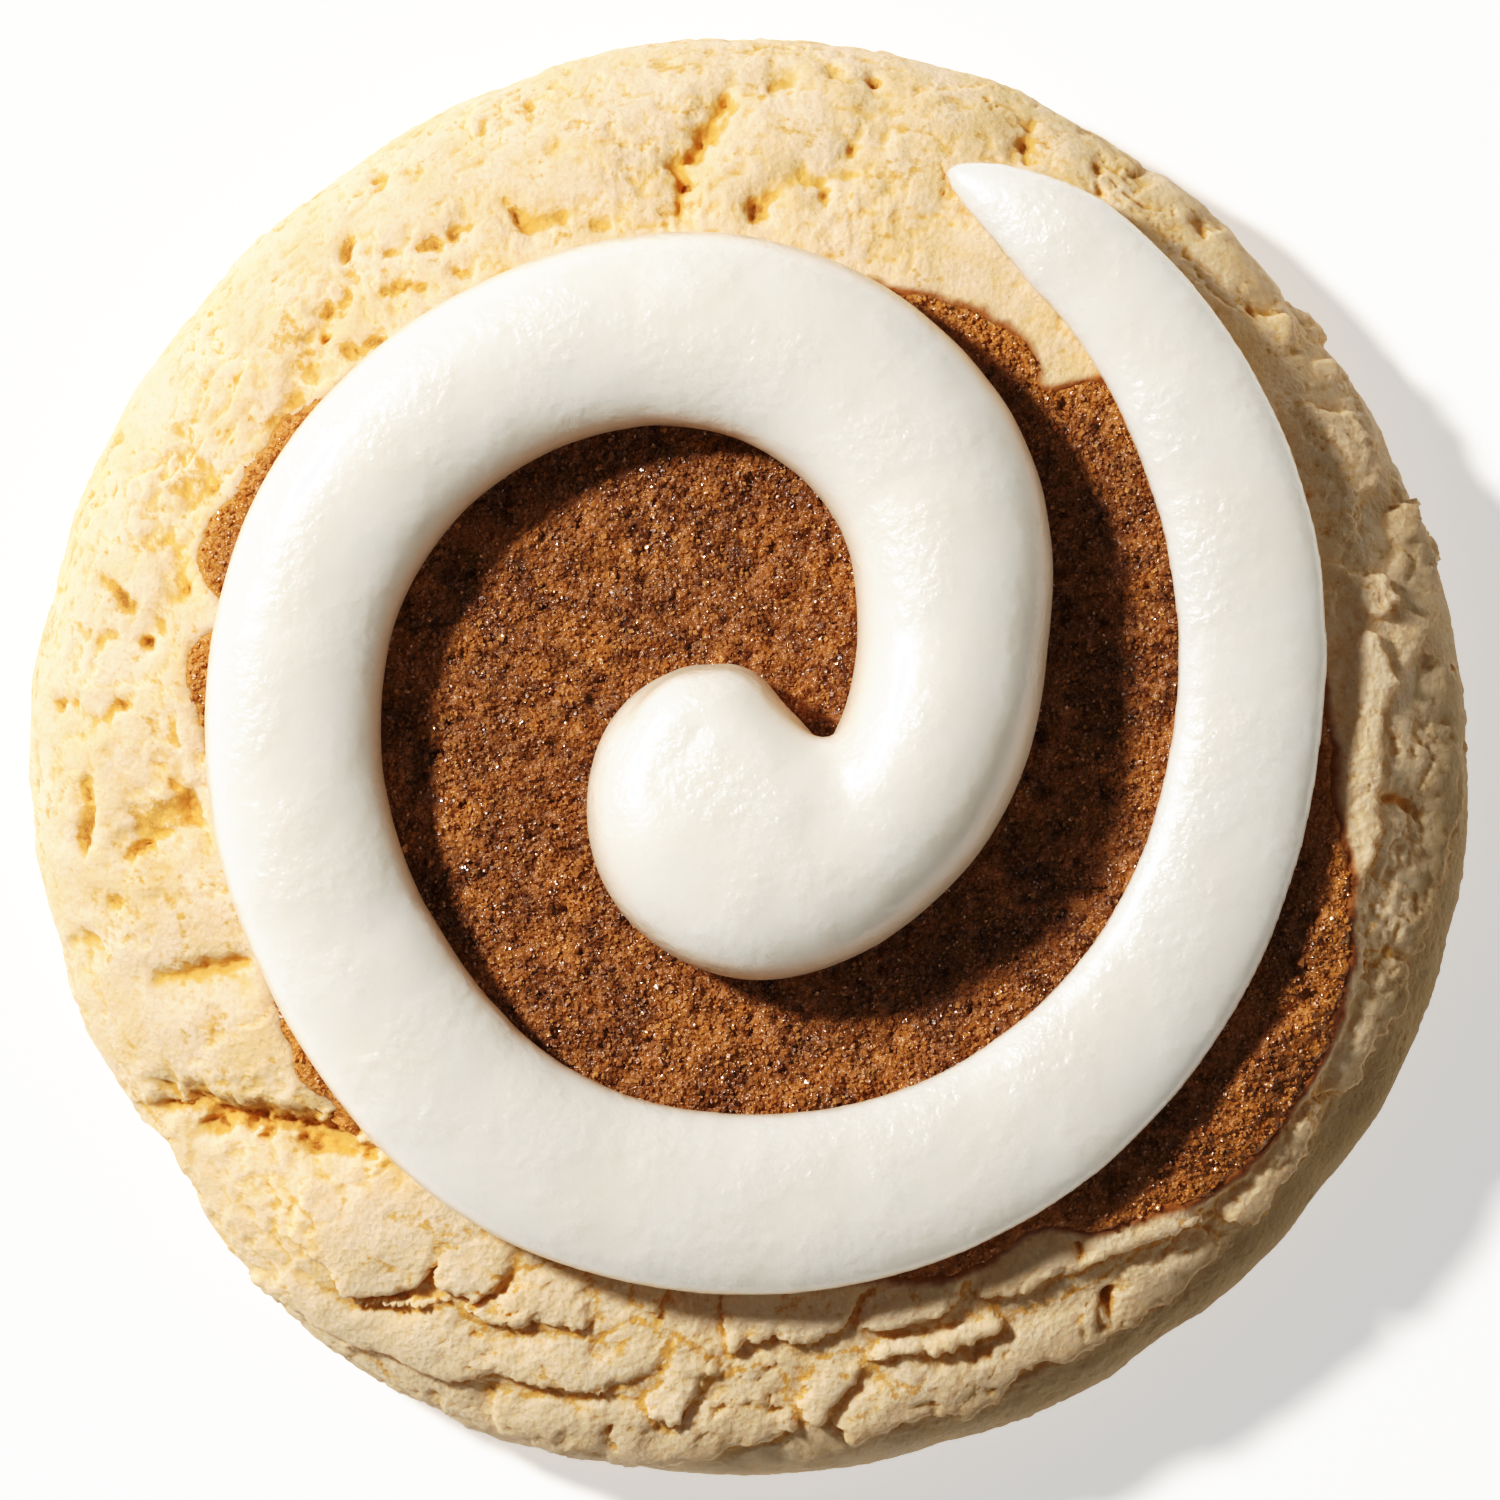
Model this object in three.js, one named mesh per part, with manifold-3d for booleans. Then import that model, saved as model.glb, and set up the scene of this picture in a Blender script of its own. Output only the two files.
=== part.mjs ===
// A cinnamon roll cookie: a large soft sugar cookie with a patch of cinnamon sugar baked into its
// top and one thick rope of white icing piped over it in a spiral.
// Millimetres, +Z up. The origin is the middle of the flat base, so the cookie rests on Z = 0.
// Three solids: cookie_dough, cinnamon_filling and icing_swirl.

import * as THREE from 'three';
import { mergeVertices } from 'three/addons/utils/BufferGeometryUtils.js';
import Module from 'manifold-3d';

const wasm = await Module();
wasm.setup();

// ---------------------------------------------------------------------------------------------
// Driving dimensions

// The round of dough. Its radius is given every 30 degrees, counter-clockwise from +X.
const RIM_RADII = [54.0, 53.1, 53.6, 54.0, 53.5, 53.5, 54.0, 53.7, 54.6, 54.2, 53.9, 54.3];
const COOKIE_HEIGHT = 17.6; // base to the flattened middle of the top
const DOME_PEAK = 17.9; // where the dome would reach if its middle weren't flattened
const BELLY_HEIGHT = 6; // height at which the side is widest
const BASE_FRACTION = 0.965; // radius of the flat base over the widest radius
const DOME_POWER = 3; // a higher power keeps the top flat further out
const SHOULDER_POWER = 1.6; // a higher power makes a fuller shoulder

// The upper slab of dough ends at the rim in a small step, where a crack runs out at the side.
const RIM_STEP = { angle: 211, depth: 1.1, start: 2, fade: 22 };

// The cinnamon patch: an uneven disc, off the middle of the cookie, let into a shallow pocket.
const PATCH_CENTRE = { x: 1.5, y: -2.5 };
const PATCH_RADII = [42.8, 41.0, 38.2, 38.3, 41.2, 45.6, 42.0, 40.6, 38.0, 36.6, 40.2, 46.0];
const PATCH_THICKNESS = 1.8;
const PATCH_EDGE_DROP = 0.25; // its edge is rounded over by this much

// The icing rope. Angle runs from the inner tip, outward and counter-clockwise, to the tail.
// The distance of its middle line from the cookie's middle, and its width, are given every 30
// degrees.
const ROPE_START = -300;
const ROPE_END = 431;
const ROPE_STEP = 30;
const ROPE_RADII = [
  3.3, 3.0, 3.7, 4.7, 6.1, 7.6, 9.4, 10.4, 10.5, 11.2, 13.3, 17.5, 25.3,
  31.0, 33.6, 34.8, 33.9, 33.1, 33.8, 33.6, 34.0, 35.0, 36.9, 40.9, 45.1, 46.9,
];
const ROPE_WIDTHS = [
  2.5, 6.0, 7.6, 8.5, 9.9, 11.1, 12.1, 12.6, 12.9, 13.4, 14.0, 14.4, 15.4,
  14.9, 13.7, 13.3, 13.3, 13.4, 13.8, 13.8, 12.9, 11.8, 11.2, 10.9, 8.4, 6.0,
];
const ROPE_HEIGHT_RATIO = 0.69; // height over width
const INNER_TIP_HEIGHT = 6; // the narrow inner tip is still this high
const TAIL = { length: 15, width: 10, power: 0.6, tip: 0.4 }; // how the tail comes to a point
const SECTION_CENTRE = 0.42; // height of the widest place over the rope's height
const SECTION_SINK = 1.35; // the round underside would reach this much below the flat foot
const INSIDE_OF_BEND = 0.8; // most that the rope reaches inwards, over the radius of its bend
const LEAN = 0.8; // how far the rope's top stays level where the cookie slopes away

// The hollow inside the inner curl is filled almost level with icing.
const CURL_FILL = { x: 1.8, y: -2.1, radiusX: 7.2, radiusY: 6.8, height: 7.6, flatness: 0.55 };

const GAP = 0.3; // clearance between touching solids
const UNDERSIDE_GAP = 0.4; // the same under the rope, with room for the flats of both surfaces

// How finely each solid is cut into faces.
const DOUGH_SECTORS = 144;
const DOUGH_TOP_RINGS = 9;
const DOUGH_SIDE_RINGS = 3;
const DOUGH_RING_POWER = 1.4; // closer rings towards the rim
const SLOPE_STEP = 0.05; // distance over which the top's slope is measured
const PATCH_SECTORS = 72;
const PATCH_RINGS = [0.4, 0.7, 0.88, 1]; // shares of its radius, on top and below
const ROPE_SIDES = 14;
const ROPE_PITCH = { least: 1.7, most: 4.2 }; // distance between sections along the rope
const ROPE_BEND_SHARE = 0.28; // a section at least every this share of the bend's radius
const ROPE_LOOK = 3; // degrees either side over which the rope's direction is measured
const CURL_SECTORS = 24;
const CURL_RINGS = 12;

// The large cracks, ledges and ridges of the baked dough, as lines on its top.
// depth is how far the crack cuts in, a negative one being a ridge; width is half the distance
// across it; step is how far the dough outside the line lies lower, fading out over reach.
const RELIEF = [
  // lower left: an upper slab of dough that has slid over the rim
  {
    line: [[-46, -26.7], [-39, -25.9], [-33.7, -27.8], [-28.5, -28.6]],
    depth: 2.2, width: 1.8, step: 0.8, reach: 8,
  },
  // bottom left: the long crack above the skirt
  {
    line: [[-38, -38.5], [-30, -44.2], [-22.5, -46.9], [-11.2, -47.4], [-3.7, -45.3]],
    depth: 1.8, width: 1.5, step: 1.2, reach: 5,
  },
  // bottom: the hole under the icing and the broken blocks beside it
  { line: [[-13, -42.6], [-8.5, -41.6], [-3.2, -45], [3.6, -49.5]], depth: 1.6, width: 2, step: 0 },
  // bottom right: broken ridges, with the smooth skirt below them
  { line: [[5, -46.3], [19.5, -44.2], [34, -34.6]], depth: -1, width: 2.2, step: 0 },
  { line: [[36, -33.4], [43, -24.4], [47.8, -14]], depth: -1, width: 2, step: 0 },
  {
    line: [[5.3, -51.2], [19.5, -47.6], [31.5, -41.5], [42.2, -30.5], [48.6, -18.4]],
    depth: 1.3, width: 1.4, step: 1.5, reach: 6,
  },
  // right: two cracks that run along the rim
  {
    line: [[50, 7.6], [47.6, 0.9], [47.3, -4.8], [45.9, -10.5]],
    depth: 1.5, width: 1.8, step: 0.6, reach: 4,
  },
  { line: [[52.2, 1], [51.5, -6], [50, -14.4]], depth: 0.9, width: 1.5, step: 0.4, reach: 3 },
  // top right: hollows between craggy blocks
  { line: [[36.6, 34], [41, 32.6], [43.6, 28]], depth: 1.4, width: 2, step: 0 },
  { line: [[41.8, 26.5], [46.5, 24.6]], depth: 1.3, width: 2, step: 0 },
  { line: [[46.6, 17.5], [47.5, 12]], depth: 1.3, width: 2, step: 0 },
  // top: cracks that run outward from the icing
  { line: [[-2, 49.5], [-3.6, 46.4], [-5.4, 42.5], [-5.3, 39.2]], depth: 1.7, width: 1.9, step: 0 },
  { line: [[9.3, 50], [10.3, 45.2]], depth: 1.1, width: 1.8, step: 0 },
  { line: [[-0.5, 39.4], [5.9, 42.5]], depth: 1, width: 1.6, step: 0 },
  { line: [[22.2, 46.6], [19.8, 43.5]], depth: 1, width: 1.8, step: 0 },
  // upper left: a chain of cracks, and a ledge along the rim
  { line: [[-29.2, 40.9], [-29.2, 36], [-32.2, 32], [-32, 27.5]], depth: 1.3, width: 1.9, step: 0 },
  {
    line: [[-40.7, 23.2], [-42.8, 18], [-43.5, 11.9], [-46, 5.7], [-49, -2]],
    depth: 1.1, width: 2, step: 0.4, reach: 5,
  },
  // left: a soft dent, and a low ledge below it
  { line: [[-44.5, -6.6], [-41.5, -4]], depth: 1.5, width: 2.6, step: 0 },
  { line: [[-45.5, -16.8], [-37, -15.2]], depth: 0.9, width: 1.7, step: 0.6, reach: 4 },
];

const COLOURS = { dough: 0xf0dcb0, cinnamon: 0x8a5330, icing: 0xf5efe6 };

// ---------------------------------------------------------------------------------------------
// Small helpers

const radians = THREE.MathUtils.degToRad;
const { lerp, clamp, smoothstep } = THREE.MathUtils;

// A smooth curve through evenly spaced values, at a place counted in values.
function smoothValue(values, place, closed) {
  const first = Math.floor(place);
  const f = place - first;
  const at = (i) =>
    values[closed ? (i + values.length * 2) % values.length : clamp(i, 0, values.length - 1)];
  const [a, b, c, d] = [at(first - 1), at(first), at(first + 1), at(first + 2)];
  return b + 0.5 * f * (c - a + f * (2 * a - 5 * b + 4 * c - d + f * (3 * (b - c) + d - a)));
}

// The place of an angle in a list of values given every 30 degrees round a full turn.
const placeInTurn = (degrees) => (((degrees % 360) + 360) % 360) / 30;

const evenRimRadius = (degrees) => smoothValue(RIM_RADII, placeInTurn(degrees), true);

function rimRadius(degrees) {
  const past = (((degrees - RIM_STEP.angle) % 360) + 360) % 360;
  const stepIn = smoothstep(past, 0, RIM_STEP.start) * (1 - smoothstep(past, 0, RIM_STEP.fade));
  return evenRimRadius(degrees) - RIM_STEP.depth * stepIn;
}

const patchRadius = (degrees) => smoothValue(PATCH_RADII, placeInTurn(degrees), true);

// Distance from a point to a line of points, and whether the point lies outside it.
function nearLine(x, y, line) {
  let distance = Infinity;
  let outside = false;
  for (let i = 0; i + 1 < line.length; i++) {
    const [ax, ay] = line[i];
    const [bx, by] = line[i + 1];
    const along = ((x - ax) * (bx - ax) + (y - ay) * (by - ay)) / ((bx - ax) ** 2 + (by - ay) ** 2);
    const t = clamp(along, 0, 1);
    const qx = lerp(ax, bx, t);
    const qy = lerp(ay, by, t);
    const here = Math.hypot(x - qx, y - qy);
    if (here < distance) {
      distance = here;
      outside = Math.hypot(x, y) > Math.hypot(qx, qy);
    }
  }
  return { distance, outside };
}

// How far the dough's surface is pressed in at a point of its top.
function reliefDepth(x, y) {
  let depth = 0;
  for (const mark of RELIEF) {
    const { distance, outside } = nearLine(x, y, mark.line);
    depth += mark.depth * Math.exp(-((distance / mark.width) ** 2));
    if (outside && mark.step > 0) depth += mark.step * (1 - smoothstep(distance, 0, mark.reach));
  }
  return depth;
}

// Height of the smooth top of the cookie, without cracks.
function topHeight(x, y) {
  const degrees = THREE.MathUtils.radToDeg(Math.atan2(y, x));
  const share = Math.min(Math.hypot(x, y) / evenRimRadius(degrees), 1);
  const dome = (1 - share ** DOME_POWER) ** (1 / SHOULDER_POWER);
  return Math.min(COOKIE_HEIGHT, BELLY_HEIGHT + (DOME_PEAK - BELLY_HEIGHT) * dome);
}

// A closed solid made of rings of points, each ring joined to the next, and one point at each end.
// The rings run from the first end to the last, counter-clockwise seen from the last.
function ringSolid(firstPoint, rings, lastPoint) {
  const sides = rings[0].length;
  const positions = [firstPoint, ...rings.flat(), lastPoint].flatMap((p) => [p.x, p.y, p.z]);
  const last = 1 + rings.length * sides;
  const faces = [];
  for (let i = 0; i < sides; i++) {
    const j = (i + 1) % sides;
    faces.push(0, 1 + j, 1 + i);
    for (let ring = 0; ring + 1 < rings.length; ring++) {
      const low = 1 + ring * sides;
      const high = low + sides;
      faces.push(low + i, low + j, high + j, low + i, high + j, high + i);
    }
    faces.push(last, last - sides + i, last - sides + j);
  }
  const geometry = new THREE.BufferGeometry();
  geometry.setAttribute('position', new THREE.Float32BufferAttribute(positions, 3));
  geometry.setIndex(faces);
  return geometry;
}

function toManifold(geometry) {
  const bare = geometry.clone();
  bare.deleteAttribute('normal');
  bare.deleteAttribute('uv');
  const merged = mergeVertices(bare);
  return new wasm.Manifold(new wasm.Mesh({
    numProp: 3,
    vertProperties: new Float32Array(merged.attributes.position.array),
    triVerts: new Uint32Array(merged.index.array),
  }));
}

function toGeometry(manifold) {
  const mesh = manifold.getMesh();
  const geometry = new THREE.BufferGeometry();
  geometry.setAttribute('position', new THREE.BufferAttribute(mesh.vertProperties, mesh.numProp));
  geometry.setIndex(new THREE.BufferAttribute(mesh.triVerts, 1));
  return geometry;
}

// ---------------------------------------------------------------------------------------------
// Cookie dough

// A point of the dough's top, pressed in by the cracks along the smooth surface's own normal.
function doughTopPoint(x, y) {
  const reach = Math.hypot(x, y);
  const z = topHeight(x, y);
  const nearer = 1 - SLOPE_STEP / reach;
  const slope = (topHeight(x * nearer, y * nearer) - z) / SLOPE_STEP;
  const length = Math.hypot(slope, 1);
  const depth = reliefDepth(x, y);
  const inward = (depth * slope) / length / reach;
  return new THREE.Vector3(x * (1 - inward), y * (1 - inward), z - depth / length);
}

function patchEdge(degrees, extra) {
  const radius = patchRadius(degrees) + extra;
  const x = PATCH_CENTRE.x + radius * Math.cos(radians(degrees));
  const y = PATCH_CENTRE.y + radius * Math.sin(radians(degrees));
  return { x, y };
}

function cookieDough() {
  const sectors = Array.from({ length: DOUGH_SECTORS }, (_, i) => (i * 360) / DOUGH_SECTORS);
  const rings = [];

  // The side, from the edge of the flat base out to the widest place.
  for (let k = 0; k < DOUGH_SIDE_RINGS; k++) {
    const turn = ((k / DOUGH_SIDE_RINGS) * Math.PI) / 2;
    const share = lerp(BASE_FRACTION, 1, Math.sin(turn));
    const z = BELLY_HEIGHT * (1 - Math.cos(turn));
    rings.push(sectors.map((a) => {
      const radius = rimRadius(a) * share;
      return new THREE.Vector3(radius * Math.cos(radians(a)), radius * Math.sin(radians(a)), z);
    }));
  }

  // The top, from the widest place in to the pocket of the cinnamon patch.
  for (let k = 0; k <= DOUGH_TOP_RINGS; k++) {
    const share = (k / DOUGH_TOP_RINGS) ** DOUGH_RING_POWER;
    rings.push(sectors.map((a) => {
      const rim = { x: rimRadius(a) * Math.cos(radians(a)), y: rimRadius(a) * Math.sin(radians(a)) };
      const edge = patchEdge(a, GAP);
      const x = lerp(rim.x, edge.x, share);
      const y = lerp(rim.y, edge.y, share);
      if (k === 0) return new THREE.Vector3(x, y, BELLY_HEIGHT);
      const point = doughTopPoint(x, y);
      const pocketRim = k === DOUGH_TOP_RINGS; // stays straight above the pocket's wall
      return pocketRim ? new THREE.Vector3(x, y, point.z) : point;
    }));
  }

  // The pocket's wall and floor.
  const floorAt = (x, y) => topHeight(x, y) - PATCH_THICKNESS - GAP;
  for (const share of [...PATCH_RINGS].reverse()) {
    rings.push(sectors.map((a) => {
      const edge = patchEdge(a, GAP);
      const x = lerp(PATCH_CENTRE.x, edge.x, share);
      const y = lerp(PATCH_CENTRE.y, edge.y, share);
      return new THREE.Vector3(x, y, floorAt(x, y));
    }));
  }
  const floorMiddle = new THREE.Vector3(
    PATCH_CENTRE.x, PATCH_CENTRE.y, floorAt(PATCH_CENTRE.x, PATCH_CENTRE.y));
  return ringSolid(new THREE.Vector3(0, 0, 0), rings, floorMiddle);
}

// ---------------------------------------------------------------------------------------------
// Cinnamon filling

function cinnamonFilling() {
  const sectors = Array.from({ length: PATCH_SECTORS }, (_, i) => (i * 360) / PATCH_SECTORS);
  const ringAt = (share, lowered) => sectors.map((a) => {
    const edge = patchEdge(a, 0);
    const x = lerp(PATCH_CENTRE.x, edge.x, share);
    const y = lerp(PATCH_CENTRE.y, edge.y, share);
    return new THREE.Vector3(x, y, topHeight(x, y) - lowered);
  });
  const bottomRings = PATCH_RINGS.map((share) => ringAt(share, PATCH_THICKNESS));
  const topRings = PATCH_RINGS.map((share) => ringAt(share, share === 1 ? PATCH_EDGE_DROP : 0));
  const middleHeight = topHeight(PATCH_CENTRE.x, PATCH_CENTRE.y);
  const middle = (z) => new THREE.Vector3(PATCH_CENTRE.x, PATCH_CENTRE.y, z);
  return ringSolid(
    middle(middleHeight - PATCH_THICKNESS), [...bottomRings, ...topRings.reverse()], middle(middleHeight));
}

// ---------------------------------------------------------------------------------------------
// Icing swirl

function ropePoint(degrees) {
  const radius = smoothValue(ROPE_RADII, (degrees - ROPE_START) / ROPE_STEP, false);
  return new THREE.Vector2(radius * Math.cos(radians(degrees)), radius * Math.sin(radians(degrees)));
}

// The rope's width at an angle, given its distance along the rope to the tip of the tail.
function ropeWidth(degrees, toTip) {
  const width = smoothValue(ROPE_WIDTHS, (degrees - ROPE_START) / ROPE_STEP, false);
  const taper = TAIL.tip + TAIL.width * (toTip / TAIL.length) ** TAIL.power;
  return Math.min(width, taper);
}

// The direction of the rope and the radius of its bend at an angle.
function ropeBend(degrees) {
  const point = ropePoint(degrees);
  const before = ropePoint(degrees - ROPE_LOOK);
  const after = ropePoint(degrees + ROPE_LOOK);
  const turn = point.clone().sub(before).normalize().cross(after.clone().sub(point).normalize());
  const bend = before.distanceTo(after) / 2 / Math.max(Math.asin(clamp(turn, -1, 1)), 1e-3);
  return { direction: after.sub(before).normalize(), bend };
}

// Places along the rope, closer together where it bends tightly.
function ropeStations() {
  const fineStep = 0.5;
  const stations = [];
  let length = 0;
  let pitch = 0;
  for (let degrees = ROPE_START; degrees <= ROPE_END; degrees += fineStep) {
    const point = ropePoint(degrees);
    if (stations.length) {
      const past = ropePoint(degrees - fineStep).distanceTo(point);
      length += past;
      pitch += past;
    }
    const { direction, bend } = ropeBend(degrees);
    const wanted = clamp(bend * ROPE_BEND_SHARE, ROPE_PITCH.least, ROPE_PITCH.most);
    const isEnd = degrees === ROPE_START || degrees === ROPE_END;
    if (pitch >= wanted || isEnd) {
      stations.push({ degrees, point, direction, bend, length });
      pitch = 0;
    }
  }
  return stations.map((station) => ({ ...station, toTip: length - station.length }));
}

// The rope's section: an ellipse, cut flat where it rests, that follows the cookie's top.
function ropeSection(station) {
  const width = ropeWidth(station.degrees, station.toTip);
  const inTheCurl = station.degrees < 0;
  const height = Math.max(width * ROPE_HEIGHT_RATIO, inTheCurl ? INNER_TIP_HEIGHT : 0);
  const outerHalf = width / 2;
  const innerHalf = Math.min(outerHalf, station.bend * INSIDE_OF_BEND);
  const outward = new THREE.Vector2(station.direction.y, -station.direction.x);
  const middleFloor = topHeight(station.point.x, station.point.y);
  return Array.from({ length: ROPE_SIDES }, (_, i) => {
    const turn = (-(i + 0.5) / ROPE_SIDES) * 2 * Math.PI;
    const rise = Math.sin(turn) * (Math.sin(turn) > 0 ? 1 - SECTION_CENTRE : SECTION_CENTRE * SECTION_SINK);
    const lift = height * Math.max(0, SECTION_CENTRE + rise);
    const offset = Math.cos(turn) * (Math.cos(turn) > 0 ? outerHalf : innerHalf);
    const x = station.point.x + outward.x * offset;
    const y = station.point.y + outward.y * offset;
    const floor = lerp(topHeight(x, y), middleFloor, (LEAN * lift) / height);
    return new THREE.Vector3(x, y, floor + UNDERSIDE_GAP + lift);
  });
}

function middleOf(ring) {
  return ring.reduce((sum, p) => sum.add(p), new THREE.Vector3()).divideScalar(ring.length);
}

// The mound of icing inside the curl, cut flat where it rests.
function curlFill() {
  const floor = COOKIE_HEIGHT + UNDERSIDE_GAP;
  const geometry = new THREE.SphereGeometry(1, CURL_SECTORS, CURL_RINGS);
  geometry.rotateX(Math.PI / 2);
  const position = geometry.attributes.position;
  for (let i = 0; i < position.count; i++) {
    const lift = Math.max(0, position.getZ(i)) ** CURL_FILL.flatness;
    position.setXYZ(
      i,
      CURL_FILL.x + position.getX(i) * CURL_FILL.radiusX,
      CURL_FILL.y + position.getY(i) * CURL_FILL.radiusY,
      floor + lift * CURL_FILL.height,
    );
  }
  return geometry;
}

function icingSwirl() {
  const sections = ropeStations().map(ropeSection);
  const rope = ringSolid(middleOf(sections[0]), sections, middleOf(sections[sections.length - 1]));
  return toGeometry(toManifold(rope).add(toManifold(curlFill())));
}

// ---------------------------------------------------------------------------------------------
// The scene graph

function part(name, geometry, color, roughness) {
  const flat = geometry.clone();
  flat.computeVertexNormals();
  const mesh = new THREE.Mesh(flat, new THREE.MeshStandardMaterial({ color, roughness, metalness: 0 }));
  mesh.name = name;
  return mesh;
}

const cookie = new THREE.Group();
cookie.add(part('cookie_dough', cookieDough(), COLOURS.dough, 0.85));
cookie.add(part('cinnamon_filling', cinnamonFilling(), COLOURS.cinnamon, 0.7));
cookie.add(part('icing_swirl', icingSwirl(), COLOURS.icing, 0.35));

export default cookie;
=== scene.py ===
"""A cinnamon roll cookie, dressed for looks: crumbly baked dough, granular cinnamon sugar and a
glossy piped icing swirl. Lengths in this script are millimetres unless a comment says metres, and
meshes are scaled to metres when they are made."""

import math
from itertools import product

import bmesh
import bpy
import numpy as np
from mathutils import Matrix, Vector


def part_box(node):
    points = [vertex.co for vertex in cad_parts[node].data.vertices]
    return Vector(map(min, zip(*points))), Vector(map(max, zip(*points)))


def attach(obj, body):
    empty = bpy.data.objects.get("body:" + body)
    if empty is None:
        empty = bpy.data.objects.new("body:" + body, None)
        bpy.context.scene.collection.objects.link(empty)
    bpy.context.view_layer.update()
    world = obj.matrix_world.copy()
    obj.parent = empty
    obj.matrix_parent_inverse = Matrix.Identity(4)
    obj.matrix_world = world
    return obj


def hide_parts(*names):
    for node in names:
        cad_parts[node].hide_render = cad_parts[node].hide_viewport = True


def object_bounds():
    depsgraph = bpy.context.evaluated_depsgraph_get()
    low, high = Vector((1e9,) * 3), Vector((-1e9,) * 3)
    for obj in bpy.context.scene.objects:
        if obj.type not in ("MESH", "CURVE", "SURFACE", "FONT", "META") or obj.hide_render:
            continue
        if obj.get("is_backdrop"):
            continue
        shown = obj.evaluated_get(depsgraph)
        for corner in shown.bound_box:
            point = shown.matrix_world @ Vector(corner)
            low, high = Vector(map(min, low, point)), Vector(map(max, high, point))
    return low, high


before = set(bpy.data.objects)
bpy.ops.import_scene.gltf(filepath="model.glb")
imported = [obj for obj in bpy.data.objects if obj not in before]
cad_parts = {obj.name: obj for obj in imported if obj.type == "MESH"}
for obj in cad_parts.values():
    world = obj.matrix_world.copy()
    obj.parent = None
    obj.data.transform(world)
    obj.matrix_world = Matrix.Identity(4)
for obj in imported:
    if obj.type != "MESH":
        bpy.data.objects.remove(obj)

cad_low, cad_high = (Vector(corner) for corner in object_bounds())

MM = 0.001  # metres in a millimetre

# ----- The cookie's shape

# The outlines and the rope's path are nearly those of the part's source. The dome is fuller than in the
# solids, and the rope is lower in its ring and arm and higher in its curl, as light and shadow show.
RIM_RADII = [54.0, 53.1, 53.6, 54.0, 53.5, 53.5, 54.0, 53.7, 54.6, 54.2, 53.9, 54.3]
RIM_STEP_ANGLE, RIM_STEP_DEPTH, RIM_STEP_START, RIM_STEP_FADE = 211, 0.9, 3, 22
COOKIE_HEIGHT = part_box("cinnamon_filling")[1].z / MM
DOME_PEAK = COOKIE_HEIGHT + 0.3  # where the dome would reach if its middle weren't flattened
BELLY_HEIGHT = 6.0  # height at which the side is widest
BASE_FRACTION = 0.965  # radius of the flat base over the widest radius
DOME_POWER = 5.8  # a higher power keeps the top flat further out
SHOULDER_POWER = 1.95  # a higher power makes a fuller shoulder
SWELL, SWELL_ANGLE, SWELL_REACH = 1.2, 350, 46  # the rise beside the icing's arm, and its angles

PATCH_X, PATCH_Y = 1.5, -2.5
PATCH_RAGGEDNESS, PATCH_RAG_SIZE = 0.55, 3.2
PATCH_RADII = [42.8, 41.0, 38.2, 38.3, 41.2, 45.6, 42.0, 40.6, 38.0, 36.6, 40.2, 46.0]
# Lobes and notches of the patch's edge: angle, how far it reaches out, half width in degrees.
PATCH_LOBES = [
    (2, -0.6, 8), (49, 0.8, 3), (55.5, -2.2, 2.6), (68, 0.9, 7), (156, 0.9, 4), (162.4, -2.2, 1.9),
    (169.5, 0.9, 3.5), (190, -2.4, 10), (212, 0.8, 3), (225, -1.2, 6), (301, -1.8, 5), (318, 0.5, 4),
]

# The rope, every 30 degrees from its inner tip outward: how far its middle line lies from the cookie's
# middle, and its width.
ROPE_START, ROPE_END, ROPE_STEP = -300, 431, 30
ROPE_RADII = [
    3.3, 3.0, 3.7, 4.7, 6.1, 7.6, 9.4, 10.4, 10.5, 11.2, 13.3, 17.5, 25.3,
    31.0, 33.6, 34.8, 33.9, 33.1, 33.7, 33.5, 34.0, 35.0, 36.9, 40.9, 45.1, 46.9,
]
ROPE_WIDTHS = [
    2.5, 6.0, 7.6, 8.5, 9.9, 11.1, 12.1, 12.6, 12.9, 13.4, 14.0, 14.4, 15.4,
    14.9, 13.7, 13.3, 13.3, 13.4, 13.6, 13.5, 12.8, 11.8, 11.2, 10.9, 8.4, 6.0,
]
ROPE_HEIGHT_RATIO = 0.69  # height over width, before the lift
# How much taller or lower than that the rope stands at each of those places.
ROPE_LIFT = [
    1.0, 1.0, 1.05, 1.14, 1.2, 1.2, 1.18, 1.17, 1.18, 1.19, 1.15, 1.02, 0.86,
    0.83, 0.84, 0.82, 0.82, 0.74, 0.62, 0.52, 0.46, 0.43, 0.42, 0.46, 0.56, 0.72,
]
ROPE_WAVER, ROPE_WAVER_LENGTH = 0.022, 8.0  # how unevenly it was squeezed out
INNER_TIP_HEIGHT = 6.0
TAIL_LENGTH, TAIL_WIDTH, TAIL_POWER, TAIL_TIP = 15.0, 10.0, 0.6, 0.4
SECTION_CENTRE = 0.42  # height of the widest place over the rope's height
SECTION_SINK = 1.35  # the round underside would reach this much below the foot
SECTION_POWER = 2.2  # 2 is an ellipse; more makes the top flatter and the sides fuller

# ----- Noise: everything random comes from these, and repeats exactly


def hash01(ix, iy, iz, seed):
    """A repeatable number from 0 to 1 for each whole-number place."""
    h = (
        ix.astype(np.int64).astype(np.uint32) * np.uint32(0x8DA6B343)
        ^ iy.astype(np.int64).astype(np.uint32) * np.uint32(0xD8163841)
        ^ iz.astype(np.int64).astype(np.uint32) * np.uint32(0xCB1AB31F)
        ^ np.uint32((seed * 0x9E3779B1) & 0xFFFFFFFF)
    )
    for shift, factor in ((15, 0x2C1B3C6D), (12, 0x297A2D39)):
        h ^= h >> np.uint32(shift)
        h *= np.uint32(factor)
    h ^= h >> np.uint32(15)
    return h / 2.0**32


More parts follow.
